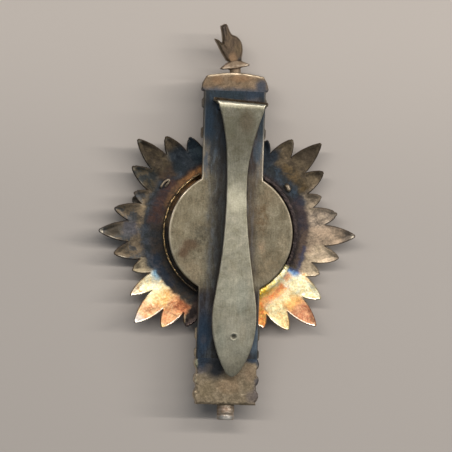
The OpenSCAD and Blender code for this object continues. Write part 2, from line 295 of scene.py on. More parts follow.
# The point pushed about by noise, so that the edges of stains wander.
def wanderedPoint(place, size, push, detail=6.0):
    noise = {"Vector": place, "Scale": 1 / size, "Detail": detail, "Roughness": 0.62}
    noise = addNode(place, "TexNoise", noise, "Color")
    centred = addNode(place, "VectorMath", {0: noise, 1: (0.5,) * 3}, operation="SUBTRACT")
    return addNode(place, "VectorMath", {0: centred, 1: (push,) * 3, 2: place}, operation="MULTIPLY_ADD")


# Smooth step of a value from 0 at low to 1 at high, falling where low is above high.
def between(value, low, high):
    rising = float(low < high)
    limits = {"From Min": min(low, high), "From Max": max(low, high), "To Min": 1 - rising, "To Max": rising}
    return addNode(value, "MapRange", {"Value": value, **limits}, interpolation_type="SMOOTHSTEP", clamp=False)


# 1 inside a stretch: rises from a to b and falls from c to d.
def span(value, a, b, c, d):
    return between(value, a, b) * between(value, d, c)


# x, y and z of a point.
def axes(point):
    return [Value(output) for output in addNode(point, "SeparateXYZ", {0: point}).output.node.outputs]


# Oval stain: 1 in its middle, fading to 0 at its radius along x and along y.
def stain(point, x, y, radiusX, radiusY):
    shift = addNode(point, "Mapping", {"Vector": point, "Location": (-x / radiusX, -y / radiusY, 0),
                                       "Scale": (1 / radiusX, 1 / radiusY, 0)})
    return between(addNode(point, "VectorMath", {0: shift}, "Value", operation="LENGTH"), 1.0, 0.3)


# Distance from the middle of the disc, and the height angle in degrees seen from the right and from the left.
def polar(point):
    x, y, _ = axes(point)
    right, left = (y.join(y, side, "ARCTAN2") * (180 / math.pi) for side in (x, x * -1))
    return {"radius": x.join(x * x + y * y, 0.0, "SQRT"), "right": right, "left": left}


# Colour from red, green and blue of 0 to 255 as a screen shows them, turned to scene-linear values.
def tint(red, green, blue):
    v = np.array([red, green, blue]) / 255
    linear = np.where(v <= 0.04045, v / 12.92, ((v + 0.055) / 1.055) ** 2.4)
    return tuple(float(c) for c in linear) + (1.0,)


# Mix of two colours by a factor, each a screen colour or another node's value.
def blend(factor, a, b, mode="MIX"):
    a, b = (tint(*colour) if isinstance(colour, tuple) else colour for colour in (a, b))
    near = next(item for item in (factor, a, b) if isinstance(item, Value))
    return addNode(near, "Mix", {0: factor, 6: a, 7: b}, 2, data_type="RGBA", blend_type=mode)


# Colour read from rows of (place, red, green, blue) by a value from 0 to 1.
def shadeRow(value, *rows):
    shade = addNode(value, "ValToRGB", {"Fac": value})
    elements = shade.output.node.color_ramp.elements
    for _ in rows[2:]:
        elements.new(0.5)
    for element, (place, *colour) in zip(elements, rows):
        element.position = place
        element.color = tint(*colour)
    return shade


# Reads the wear and the painted highlight and shade that the piece's mesh carries.
def wearAndPaintedLightOf(near):
    return addNode(near, "Attribute", {}, "Fac", attribute_name="wearAndPaintedLight")


# Multiplies a colour by a grey that goes from low to high with a noise.
def mottle(colour, noise, low, high):
    return blend(1.0, colour, between(noise, 0.3, 0.7) * (high - low) + low, "MULTIPLY")


# Lays ovals of tarnish over a colour, broken up by a noise. Columns: x, y, radius along x, radius along y,
# strength, red, green, blue.
def layStains(colour, point, rows, broken=1.0):
    for x, y, radiusX, radiusY, strength, *shade in rows:
        colour = blend(stain(point, x, y, radiusX, radiusY) * strength * broken, colour, tuple(shade))
    return colour


# Connects the finished colour, a roughness that goes from low to high with a noise and is less where the
# metal is rubbed or a highlight is painted, and the fine relief of a height in millimetres.
def finishMaterial(material, colour, noise, low, high, height=None):
    rough = (noise * (high - low) + low) * (1.0 - between(wearAndPaintedLightOf(colour), 0.0, 1.0) * 0.4)
    ends = {"Base Color": colour, "Roughness": rough}
    if height:
        ends["Normal"] = addNode(colour, "Bump", {"Distance": metre, "Height": height})
    for name, value in ends.items():
        material.node_tree.links.new(value.output, material.node_tree.nodes["Principled BSDF"].inputs[name])
    return material


# Grey-green spring metal, mottled and speckled, brown at the outside of the fold, with pale rubbed edges. It
# also
# carries painted light: highlights on the fold's crest and just below it, light and shade along the tongue's
# bends, and shade on the fold's outer side and on the leg under it.
def clipMetal():
    metal, place = startMaterial("wornClipMetal", 0.9)
    blotches, specks = grain(place, 2.0, 8, 0.75, warp=0.5), grain(place, 0.34, 5, 0.8)
    colour = shadeRow(blotches, (0.34, 120, 115, 96), (0.45, 137, 133, 115), (0.55, 148, 144, 128),
                      (0.68, 166, 159, 139))
    point = wanderedPoint(place, 1.2, 0.8)
    x, y, z = axes(point)
    # The dark oval at y 20 and the broad pale ovals at y 6.5, -11.5 and -22 are painted shade and painted
    # highlight of the tongue's bends, laid among its real stains.
    colour = layStains(colour, point, [
        (1, 20, 5.5, 7.5, 0.5, 90, 84, 66), (2.4, 22.5, 2.2, 3.6, 0.4, 104, 86, 64),
        (-0.8, 21, 1.6, 3, 0.35, 116, 114, 94), (0.8, 6.5, 3, 4, 0.55, 182, 177, 156),
        (1.4, -26, 3, 3, 0.35, 170, 156, 128), (-1.6, -21, 1.5, 5, 0.35, 126, 134, 122),
        (2.4, -13, 1.8, 5, 0.3, 130, 136, 128), (0.4, -8, 1.4, 4, 0.25, 154, 144, 122),
        (2.6, -20, 1.2, 3, 0.3, 170, 154, 126), (-0.6, -24, 2.6, 2.6, 0.25, 176, 166, 142),
        (0.6, -18, 4, 3, 0.3, 158, 152, 136), (0.8, -22, 5, 7, 0.42, 188, 183, 164),
        (0.8, -11.5, 4, 5, 0.4, 178, 176, 158)])
    across = y + x * 0.053
    # Painted highlight: a pale band just below the fold's crest, where the lamp's reflection falls.
    paintedSheenBand = span(across, 24.75, 25.0, 25.25, 25.5) * between(x, 2.4, 0.6) * between(specks, 0.42, 0.58)
    colour = blend(paintedSheenBand * 0.6, colour, (176, 170, 142))
    # Brown tarnish outside the crest of the fold, dark also as painted shade of that side.
    brown = shadeRow(grain(place, 0.6, 4, 0.6), (0.35, 50, 43, 34), (0.5, 84, 71, 56), (0.65, 124, 107, 84))
    colour = blend(between(across, 26.0, 26.25), colour, brown)
    # Painted shade: the leg under the fold is coloured dark like the shaded sheet round it.
    low = between(z, backZ + 2.4, backZ + 1.0) * span(y, 23.4, 23.8, 25.7, 26.1)
    colour = blend(low, colour, (34, 44, 53))
    colour = blend(stain(place, 1.0, -20.5, 0.7, 0.68) * 0.8, colour, (46, 42, 32))
    colour = mottle(colour, specks, 0.8, 1.12)
    colour = mottle(colour, grain(place, 0.6, 5, 0.7, (2.0, 0.25, 1)), 0.88, 1.1)
    # Pale rubbed rims and the painted highlight on the fold's crest, kept off the painted shade of the leg.
    colour = blend(wearAndPaintedLightOf(place) * (1.0 - low) * 0.85, colour, (226, 218, 196))
    return finishMaterial(metal, colour, specks, 0.40, 0.56, blotches * 0.04 + specks * 0.022)


# Tarnished silver sheet: a warm grey disc with brown stains and a blue-black bar. Bands beside and under the
# clip and between the fold and the cap are painted shadow, and the pale rims are rubbed and, on the upper left,
# a painted highlight.
def sheetSilver():
    metal, place = startMaterial("tarnishedSheet", 0.8)
    blotches, specks = grain(place, 2.4, 8, 0.72, warp=0.6), grain(place, 0.36, 5, 0.8)
    streaks = grain(place, 1.3, 7, 0.72, (1.3, 0.3, 1), 0.3)
    scratches = grain(place, 0.7, 5, 0.75, (1.8, 0.35, 1))
    broken = between(grain(place, 1.0, 7, 0.78), 0.42, 0.58) * 0.75 + 0.25
    point = wanderedPoint(place, 2.2, 2.2)
    x, y, _ = axes(point)
    colour = shadeRow(blotches, (0.3, 95, 86, 68), (0.43, 115, 105, 85), (0.55, 131, 122, 101),
                      (0.7, 151, 142, 121))
    colour = layStains(colour, point, [
        (-6.4, -1.4, 2.6, 1.5, 0.8, 78, 74, 62), (-5.8, 0.2, 2.4, 1.3, 0.6, 76, 76, 68),
        (6.2, 3.6, 2.4, 5.6, 0.7, 104, 80, 54), (8.6, -4.6, 3, 3.4, 0.5, 88, 74, 50),
        (7.4, 8.6, 1.2, 3.6, 0.5, 112, 88, 62), (5.2, -7.6, 0.9, 3, 0.5, 92, 76, 58),
        (-10.4, -1, 1.4, 2.6, 0.4, 98, 86, 66), (10.6, -2.2, 1.8, 3.4, 0.8, 158, 144, 118),
        (-7.2, -8, 2.8, 3.4, 0.7, 154, 138, 112), (-8.6, 6, 4.6, 5.2, 0.5, 134, 124, 100),
        (8.6, 8, 4.4, 3.6, 0.6, 146, 132, 108), (6.4, -2.6, 1.4, 2.2, 0.8, 158, 136, 110),
        (-10, 1, 1.8, 4, 0.5, 142, 130, 104), (7.6, -7, 3.6, 4.2, 0.6, 154, 137, 110),
        (-9.5, -6, 2.4, 3, 0.6, 142, 128, 104)], broken)
    colour = layStains(colour, point, [(-8, -2.4, 2.2, 1.6, 0.7, 92, 70, 52),
                                       (-9.3, -4.1, 1.7, 1.9, 0.7, 98, 74, 56)])
    blue = between(streaks, 0.44, 0.62)
    # Each field of the bar: its mask, and the two colours of its streaks.
    for mask, shade, streak in (
            (between(abs(y), 10.8, 12.8) * 0.94, (27, 35, 43), (42, 57, 71)),
            # Painted shadow of the clip on its left.
            (span(x, -5.8, -3.6, 0.4, 1.0) * between(y, 18.5, 14.0) * 0.85, (66, 63, 57), (86, 90, 93)),
            # Painted shadow of the clip on its right.
            (span(x, 1.4, 2.0, 4.0, 6.0) * 0.72, (74, 62, 53), (90, 86, 87)),
            # Painted shadow under the clip, near black.
            (span(x, -3.7, -2.6, 2.8, 3.4) * between(y, 26.4, 25.6) * 0.6, (32, 30, 31), (32, 30, 31)),
            (span(y, 10.5, 12.0, 15.5, 20.5) * between(abs(x), 4.3, 5.2) * 0.8, (122, 113, 100), (88, 92, 96)),
            (span(y, -20.0, -16.5, -11.5, -10.0) * 0.6, (56, 47, 45), (76, 72, 76))):
        colour = blend(mask, colour, blend(blue, shade, streak))
    colour = layStains(colour, point, [
        (4.9, 16.5, 1.4, 3.4, 0.6, 60, 74, 86), (-4.8, -20.5, 2.2, 7, 0.8, 46, 63, 82),
        (5.2, -21, 1.3, 5, 0.8, 98, 112, 124), (-5, 22, 1.8, 6, 0.7, 30, 46, 60),
        # Painted shadow between the clip's fold and the cap: the wide oval at (0, 27.8).
        (5.6, 21, 1.1, 5, 0.35, 60, 74, 84), (0, 27.8, 8, 1.4, 0.7, 36, 47, 54),
        (3.8, 27.9, 3.4, 1.5, 0.85, 40, 51, 64), (-4.9, -21.3, 0.9, 1.1, 0.3, 92, 84, 84)])
    colour = mottle(mottle(colour, scratches, 0.8, 1.14), specks, 0.72, 1.16)
    # Pale rubbed rims, with a painted highlight on the upper left.
    colour = blend(wearAndPaintedLightOf(place) * 0.9, colour, (228, 213, 188))
    return finishMaterial(metal, colour, specks, 0.38, 0.58, blotches * 0.05 + specks * 0.03)


# Sectors of tarnish on each side of the ray plate, two of them also painted shade. Columns: lowest and highest
# angle above that side in degrees, radius from and to in mm, soft edge in mm, strength, and two colours of its
# mottling.
raySectors = {
    "left": [
        (26, 90, 16.8, 28, 0.9, 0.9, 64, 55, 44, 88, 76, 58),
        (49, 90, 14.4, 20.6, 0.9, 0.95, 28, 36, 44, 42, 50, 57),
        (62, 90, 14.2, 28, 0.9, 0.95, 30, 40, 48, 46, 57, 63),
        (28, 38, 18, 28, 0.6, 0.8, 42, 48, 50, 76, 68, 54),
        (-19, 26, 17.4, 28, 0.8, 0.95, 104, 91, 74, 64, 66, 68),
        (-3, 4, 21.6, 24.9, 0.5, 0.7, 58, 54, 48, 84, 78, 66),
        (-3, 6, 18.4, 21.4, 0.6, 0.75, 62, 66, 78, 86, 84, 86),
        (-29, -21, 15.2, 17.4, 0.6, 0.85, 72, 92, 112, 100, 108, 118),
        (2, 17, 17.2, 18.9, 0.6, 0.8, 138, 120, 94, 88, 78, 64),
        (-30, -18, 17.4, 28, 0.7, 0.9, 152, 138, 112, 120, 108, 88),
        (-26, 56, 14.6, 17.7, 0.7, 0.92, 38, 45, 50, 55, 63, 72),
        (36, 47, 15.8, 18.4, 0.7, 0.75, 80, 64, 50, 58, 50, 46),
        (38, 74, 13.8, 15.2, 0.5, 0.9, 46, 36, 33, 66, 50, 42),
        (5, 42, 13.6, 16.5, 0.7, 0.9, 76, 54, 47, 56, 48, 50),
        (44, 70, 12, 14.5, 0.6, 0.95, 142, 100, 60, 98, 70, 46),
        (20, 46, 12, 14.5, 0.5, 0.8, 120, 90, 62, 84, 66, 50),
        # Dark tarnish with painted shade in the trough under the disc's edge.
        (-72, 6, 12, 16.3, 0.7, 0.93, 44, 45, 47, 58, 50, 44),
        (-44, -18, 14.7, 16.8, 0.6, 0.7, 38, 48, 62, 66, 66, 72),
        # Painted shadow of the bar on the rays beside it.
        (-90, -64, 12, 28, 0.7, 0.95, 48, 41, 41, 66, 54, 50)],
    "right": [
        (28, 68, 16.2, 28, 0.8, 0.9, 106, 92, 72, 80, 69, 56),
        (42, 52, 20.6, 28, 0.8, 0.7, 76, 65, 54, 102, 89, 72),
        (28, 54, 15.4, 18.4, 0.7, 0.8, 104, 85, 57, 80, 70, 54),
        (59, 68, 13, 19.6, 0.8, 0.9, 34, 45, 56, 48, 58, 68),
        (66, 90, 13, 28, 0.8, 0.95, 30, 40, 50, 44, 54, 62),
        (3, 30, 16, 28, 0.8, 0.9, 172, 154, 134, 138, 124, 110),
        (-30, 6, 15.8, 28, 0.8, 0.92, 178, 155, 131, 150, 132, 112),
        (-4, 6, 23, 28, 0.7, 0.85, 94, 86, 78, 120, 108, 94),
        (9, 16, 21, 28, 0.6, 0.7, 100, 94, 86, 120, 110, 96),
        (17, 30, 16, 28, 0.7, 0.75, 130, 116, 96, 106, 94, 78),
        (-16, -6, 21.6, 28, 0.6, 0.5, 132, 120, 104, 114, 104, 92),
        (22, 60, 12, 16.5, 0.7, 0.92, 38, 45, 50, 50, 64, 77),
        (-24, 28, 14, 15.9, 0.6, 0.9, 92, 76, 67, 66, 57, 62),
        (4, 30, 13.8, 16.2, 0.6, 0.8, 64, 55, 58, 46, 47, 56),
        (-26, 62, 12, 14.3, 0.6, 0.92, 44, 38, 36, 56, 50, 54),
        (-28, -8, 15.1, 16.1, 0.4, 0.6, 48, 60, 92, 78, 84, 106),
        (-28, -13, 16.2, 20.6, 0.6, 0.8, 190, 172, 144, 168, 150, 124),
        (-17, -6, 17, 22, 0.6, 0.8, 208, 186, 158, 186, 166, 138)]}

# Bright fields of the lower rays, tarnish films with a painted reflection of the lamp, laid over the dark ones,
# and the colours inside them, with the same columns.
filmAndSheenFields = {"left": (-64, -28, 16.6, 28, 0.45, 1.0), "right": (-90, -26.5, 12, 28, 0.4, 1.0)}
filmAndSheenColours = {
    "left": [
        (-64, -44, 16, 23, 0.8, 0.85, 200, 120, 78, 228, 172, 120),
        (-42, -30, 17, 21.6, 0.8, 0.9, 254, 246, 214, 244, 222, 166),
        (-50, -41, 16.8, 20.5, 0.7, 0.7, 248, 196, 112, 250, 220, 160),
        (-52, -38, 21.4, 28, 0.8, 0.8, 218, 150, 104, 240, 204, 154),
        (-48, -42, 24.4, 28, 0.5, 0.8, 212, 214, 212, 196, 188, 184),
        (-38, -28, 21.2, 28, 0.6, 0.75, 232, 222, 196, 188, 128, 86),
        (-35, -23, 15.5, 17.8, 0.8, 0.95, 92, 140, 172, 160, 196, 212),
        (-66, -54, 15.8, 18.8, 0.6, 0.85, 140, 74, 46, 184, 110, 70)],
    "right": [
        (-90, -63, 12, 28, 0.5, 0.9, 224, 116, 44, 244, 184, 84),
        (-64, -48, 12, 14.7, 0.7, 0.95, 255, 214, 84, 255, 226, 130),
        (-50, -34, 12, 14.5, 0.6, 0.9, 255, 248, 214, 252, 228, 146),
        (-68, -40, 14.5, 16.2, 0.8, 0.85, 240, 124, 60, 248, 178, 100),
        (-62, -34, 16.6, 19.6, 1.1, 0.85, 252, 242, 196, 238, 204, 138),
        (-52, -39, 18.6, 28, 0.6, 0.95, 176, 106, 76, 204, 150, 110),
        (-51, -40, 17.9, 19.9, 0.8, 0.75, 248, 204, 122, 236, 166, 94),
        (-64, -52, 19, 28, 1, 0.85, 242, 226, 164, 228, 178, 114),
        (-40, -29, 16, 28, 0.6, 0.85, 255, 250, 218, 244, 226, 166),
        (-42, -30, 12.8, 16, 0.6, 0.85, 255, 252, 234, 250, 232, 186),
        (-38.5, -32.5, 14, 15.4, 0.4, 0.7, 206, 86, 48, 232, 166, 106),
        (-31.5, -27, 12, 16.4, 0.6, 0.9, 150, 196, 236, 84, 140, 208),
        (-28.5, -24, 12, 16, 0.5, 0.9, 32, 48, 84, 46, 60, 100)]}


# 1 inside a sector of the ring, soft at its four borders.
def sectorMask(ring, side, low, high, inner, outer, soft, strength):
    turn = soft * 2.8
    return (span(ring[side], low - turn, low + turn, high - turn, high + turn)
            * span(ring["radius"], inner - soft, inner + soft, outer - soft, outer + soft) * strength)


# Lays sectors over a colour, each mottled by a noise.
def laySectors(colour, ring, noise, sectors):
    for side, rows in sectors.items():
        for row in rows:
            colour = blend(sectorMask(ring, side, *row[:6]), colour, blend(noise, row[6:9], row[9:]))
    return colour


# Dished rays: dark blue and brown above, and cream, yellow, orange and salmon below, as thin tarnish films
# show.
# The bright fields below are also a painted reflection of the lamp, and the lips, tips and rims carry painted
# highlight and shade.
def raySilver():
    metal, place = startMaterial("rainbowTarnish", 0.8)
    blotches, specks = grain(place, 1.5, 8, 0.72, warp=0.7), grain(place, 0.42, 5, 0.72)
    patch = between(grain(place, 2.0, 8, 0.74, warp=0.5), 0.46, 0.58)
    flecks = between(grain(place, 0.7, 7, 0.8), 0.43, 0.57)
    ring = polar(wanderedPoint(place, 1.7, 1.9, 8))
    colour = shadeRow(blotches, (0.32, 66, 57, 46), (0.46, 92, 80, 64), (0.56, 112, 98, 78),
                      (0.7, 136, 120, 96))
    colour = laySectors(colour, ring, patch, raySectors)
    filmsAndSheen = shadeRow(grain(place, 1.8, 7, 0.68, warp=0.8), (0.3, 206, 116, 64), (0.38, 224, 162, 110),
                     (0.46, 240, 216, 166), (0.54, 246, 236, 204), (0.60, 240, 208, 130), (0.66, 216, 148, 104),
                     (0.74, 190, 194, 196))
    bright = blotches.join(*(sectorMask(ring, side, *row) for side, row in filmAndSheenFields.items()), "MAXIMUM")
    colour = blend(bright, colour, laySectors(filmsAndSheen, ring, flecks, filmAndSheenColours))
    colour = mottle(mottle(colour, specks, 0.74, 1.16), blotches, 0.82, 1.12)
    wearAndPaintedLight = wearAndPaintedLightOf(place)
    seen = wearAndPaintedLight.join(span(ring["left"], -66, -61, 60, 66), span(ring["right"], -80, -74, 56, 61), "MAXIMUM")
    # Painted highlight on the lips and tips, whiter in the bright fields, and painted shade where the value is
    # below 0.
    pale = blend(bright, (190, 180, 162), (255, 248, 230))
    colour = blend(between(wearAndPaintedLight, 0.0, 0.9) * seen * 0.75, colour, pale)
    colour = blend(between(wearAndPaintedLight, 0.0, -0.8) * 0.7, colour, (58, 47, 38))
    return finishMaterial(metal, colour, specks, 0.36, 0.56, blotches * 0.07 + specks * 0.03)


# Solder wall round the disc: golden where its crest is rubbed on the left, purple-brown on the right, and
# stained yellow and cream at the lower right, where the brightness is also a painted reflection of the lamp, as
# on the rays there.
def collarMetal():
    metal, place = startMaterial("solderedCollar", 0.8)
    crumbs = grain(place, 0.6, 5, 0.75)
    ring = polar(wanderedPoint(place, 1.7, 1.4))
    right = ring["right"]
    colour = shadeRow(crumbs, (0.36, 36, 30, 25), (0.52, 50, 41, 33), (0.66, 70, 57, 43))
    golden = span(ring["left"], -56.0, -22.0, 44.0, 66.0) * between(crumbs, 0.38, 0.58)
    colour = blend(golden * wearAndPaintedLightOf(place) * 0.75, colour, (196, 164, 114))
    plum = shadeRow(crumbs, (0.38, 38, 33, 33), (0.5, 52, 44, 43), (0.62, 74, 62, 58))
    colour = blend(span(right, -91.0, -90.0, 65.0, 75.0), colour, plum)
    # Tarnish films at the lower right, bright also as a painted reflection of the lamp.
    filmsAndSheen = blend(between(right, -56.0, -46.0), (250, 200, 66), (255, 248, 214))
    filmsAndSheen = blend(between(crumbs, 0.45, 0.6), filmsAndSheen, (250, 226, 140))
    colour = blend(span(right, -76.0, -70.0, -30.0, -26.0), colour, filmsAndSheen)
    return finishMaterial(metal, colour, crumbs, 0.34, 0.55, crumbs * 0.08)


# Cast and small pieces. Blotches and specks are grain's values, wander is wanderedPoint's, the blue-black veil
# lies beyond the places along the badge, and stains have layStains' columns.
castLook = {"metallic": 0.7, "blotches": (1.3, 7, 0.7, (1, 1, 1), 0.4), "specks": (0.28, 4, 0.7),
            "wander": (1.2, 0.9), "veil": (60.0, 61.0), "contrast": (0.74, 1.16), "wearAndHighlightShare": 0.7,
            "wearAndHighlightTint": (204, 184, 156), "relief": (0.03, 0.0135), "rough": (0.42, 0.62)}
smallLook = {**castLook, "specks": (0.2, 3, 0.6), "wander": (0.8, 0.6), "contrast": (0.84, 1.12)}
castLooks = {
    # Brown cap with orange mottling that turns blue-black towards the bar.
    "cap": {**castLook, "name": "brownCap", "veil": (29.7, 28.4),
            "shades": [(0.3, 88, 73, 57), (0.45, 112, 94, 73), (0.56, 128, 108, 86), (0.68, 146, 124, 100)],
            "stains": [(1, 31, 3.2, 1, 0.5, 142, 106, 72), (-3.6, 30.6, 1.8, 1.2, 0.45, 136, 102, 70),
                       (5.2, 29.7, 1.7, 1.8, 0.85, 52, 62, 76), (-5.6, 29.6, 1.2, 1.4, 0.4, 112, 92, 70)]},
    # Rough beige-brown foot with a dark veil where it meets the bar.
    "foot": {**castLook, "name": "roughFoot", "veil": (-26.2, -25.1), "relief": (0.025, 0.01125),
             "shades": [(0.3, 107, 94, 75), (0.45, 132, 117, 94), (0.56, 149, 133, 109), (0.7, 168, 152, 128)],
             "stains": [(-3.4, -26.4, 4.4, 3.6, 0.6, 88, 84, 80), (-4.9, -25.8, 3, 2.7, 0.95, 42, 54, 68),
                        # The near-black oval at (-2, -26.9) is painted shadow of the clip's tip.
                        (-2, -26.9, 2.8, 3.2, 0.95, 31, 36, 42), (-5.2, -27.6, 1.6, 1, 0.5, 88, 84, 90),
                        (-3.7, -26.8, 1.2, 1.1, 0.3, 106, 94, 84), (6.3, -31, 1.3, 3.6, 0.7, 102, 94, 92),
                        (5.4, -25, 1.8, 1.1, 0.9, 62, 74, 88), (6.4, -25.9, 0.9, 1.3, 0.8, 62, 68, 76),
                        (6.4, -29.6, 0.9, 1.2, 0.7, 84, 82, 86), (6.6, -27.6, 0.5, 1.2, 0.6, 96, 88, 84),
                        (4.6, -27.9, 1.8, 2.4, 0.4, 156, 130, 104),
                        (0.4, -30.5, 3.4, 2.2, 0.35, 156, 126, 94),
                        (-3.8, -31.5, 2.4, 2.4, 0.35, 138, 122, 92),
                        (1.6, -28.4, 2, 1.3, 0.35, 158, 130, 100), (5.3, -32.6, 1.8, 1.9, 0.6, 108, 98, 98),
                        (-6.2, -26.2, 0.6, 1.6, 0.8, 158, 154, 126),
                        (-6.3, -29.4, 0.5, 1.6, 0.6, 156, 148, 126)]},
    # Dark steel-blue and brown of the bundle and the ring.
    "bundle": {**castLook, "name": "darkBundle", "relief": (0.10, 0.045),
               "shades": [(0.32, 58, 56, 54), (0.46, 84, 78, 70), (0.56, 104, 94, 80), (0.7, 132, 118, 98)],
               "stains": [(-6.2, 20, 1.2, 2.2, 0.6, 74, 62, 48), (0, -22, 7, 4, 0.4, 70, 78, 88),
                          (-6.6, -22, 1.4, 5, 0.8, 176, 158, 132), (0, 26, 7, 3, 0.4, 110, 90, 66)]},
    # Plain front: worn grey silver, darker in its hollow.
    "front": {**castLook, "name": "plainFront", "relief": (0.06, 0.027),
              "shades": [(0.32, 104, 98, 88), (0.46, 134, 127, 114), (0.56, 152, 145, 131),
                         (0.7, 176, 168, 152)],
              "stains": [(-4, 3, 5, 6, 0.35, 92, 88, 84), (5, -5, 4, 5, 0.3, 120, 104, 84)]},
    # Pinkish bright silver of the staff's ends.
    "staff": {**smallLook, "name": "pinkStaffSilver", "blotches": (0.7, 6, 0.65), "wearAndHighlightShare": 0.4,
              "wearAndHighlightTint": (222, 206, 188), "relief": (0.06, 0.02), "rough": (0.52, 0.68),
              "shades": [(0.34, 100, 84, 66), (0.48, 122, 104, 84), (0.58, 136, 118, 97), (0.7, 156, 139, 120)],
              "stains": [(0.2, -36.9, 2.6, 0.8, 0.85, 170, 169, 165),
                         (0.1, -36.2, 2.6, 0.2, 0.4, 112, 92, 78),
                         (-0.2, -35.3, 1.5, 0.8, 0.5, 172, 142, 122), (0.2, 33.6, 5, 2.4, 0.3, 164, 141, 117),
                         (-2, 33.8, 1, 0.8, 0.5, 186, 162, 142)]},
    # Dark brown tarnish of the hand, lighter towards the wrist.
    "hand": {**smallLook, "name": "darkHandTarnish", "metallic": 0.65, "relief": (0.08, 0.02),
             "blotches": (0.9, 6, 0.65, (1.4, 0.6, 1)), "wearAndHighlightShare": 0.55, "wearAndHighlightTint": (168, 150, 126),
             "rough": (0.42, 0.6),
             "shades": [(0.32, 56, 45, 34), (0.46, 76, 62, 48), (0.56, 90, 74, 57), (0.7, 110, 93, 72)],
             "stains": [(-2.6, 41, 1.2, 2, 0.6, 66, 58, 52), (-0.6, 35.2, 1.2, 1.5, 0.75, 134, 106, 78),
                        (0.6, 37, 1.4, 1.6, 0.35, 96, 80, 54), (0.9, 34.9, 0.7, 0.7, 0.7, 40, 42, 44),
                        (-3.4, 37.6, 0.9, 1.4, 0.4, 72, 66, 50)]}}


# Mottled metal from a look: shades by its blotches, then its veil, stains, specks, and the pale of rubbed
# places and painted highlights.
def castMetal(look):
    metal, place = startMaterial(look["name"], look["metallic"])
    blotches, specks = grain(place, *look["blotches"]), grain(place, *look["specks"])
    point = wanderedPoint(place, *look["wander"])
    navy = shadeRow(grain(place, 0.9, 4, 0.6), (0.36, 38, 46, 56), (0.6, 74, 80, 90))
    colour = blend(between(axes(point)[1], *look["veil"]) * 0.9, shadeRow(blotches, *look["shades"]), navy)
    colour = mottle(layStains(colour, point, look["stains"]), specks, *look["contrast"])
    colour = blend(wearAndPaintedLightOf(place) * look["wearAndHighlightShare"], colour, look["wearAndHighlightTint"])
    coarse, fine = look["relief"]
    return finishMaterial(metal, colour, specks, *look["rough"], blotches * coarse + specks * fine)


finishes = {"clip": clipMetal(), "sheet": sheetSilver(), "ray": raySilver(), "collar": collarMetal(),
            **{name: castMetal(look) for name, look in castLooks.items()}}
print("materials ready:", ", ".join(finishes))

# Spring clip. Heights are (place along y, height above the back plate), drift is (place, sideways shift).
clipSizes = {"middle": 1.0, "thick": 0.8, "edge": 0.24, "foldHeight": 3.9, "foldEnd": 27.1, "legLength": 0.4,
             "rootHalf": 5.45, "waist": 9.5, "waistHalf": 2.0, "rootArc": 50.2, "neckArc": 115.0,
             "flankHigh": -7.5, "flankLow": -13.2, "blade": -17.0, "bladeHalf": 4.43,
             "bladeHighArc": 25.0, "bladeLowArc": 20.0, "tip": -28.6, "tipRound": 0.9,
             "dotPlace": -20.5, "dotRadius": 0.5, "dotDepth": 0.17, "foldSquare": 2.8, "topSlant": 0.035,
             "sideSlant": 0.055,
             "heights": [(25.15, 3.9), (17, 3), (11, 2.44), (5, 2.6), (0, 2.86), (-12, 3.16), (-20, 3.16),
                         (-26, 2.8), (-28.6, 2.35)],
             "drift": [(27.1, 0), (25.2, 0.2), (20, 0.1), (13, -0.22), (5, -0.2), (-6, 0), (-19, 0), (-25, 0),
                       (-28.6, -0.12)]}


# Half of the tongue's width: hollow arcs at the root and neck, a straight flank, and round arcs at the blade
# that the tip closes by a quarter of an ellipse.
def tongueHalf(y, c):
    root = c["waistHalf"] + sag(c["rootArc"], np.maximum(y - c["waist"], 0))
    neck = c["waistHalf"] + sag(c["neckArc"], np.minimum(y - c["waist"], 0))
    high = c["waistHalf"] + sag(c["neckArc"], c["flankHigh"] - c["waist"])
    low = c["bladeHalf"] - sag(c["bladeHighArc"], c["flankLow"] - c["blade"])
    flank = high + (low - high) * (c["flankHigh"] - y) / (c["flankHigh"] - c["flankLow"])
    bladeHigh = c["bladeHalf"] - sag(c["bladeHighArc"], np.clip(y - c["blade"], 0, 10))
    bladeLow = c["bladeHalf"] - sag(c["bladeLowArc"], np.clip(y - c["blade"], -15, 0))
    end = bladeLow * np.sqrt(1 - (1 - np.clip((y - c["tip"]) / c["tipRound"], 0, 1)) ** 2)
    return np.select([y > c["waist"], y > c["flankHigh"], y > c["flankLow"], y > c["blade"]],
                     [root, neck, flank, bladeHigh], end)


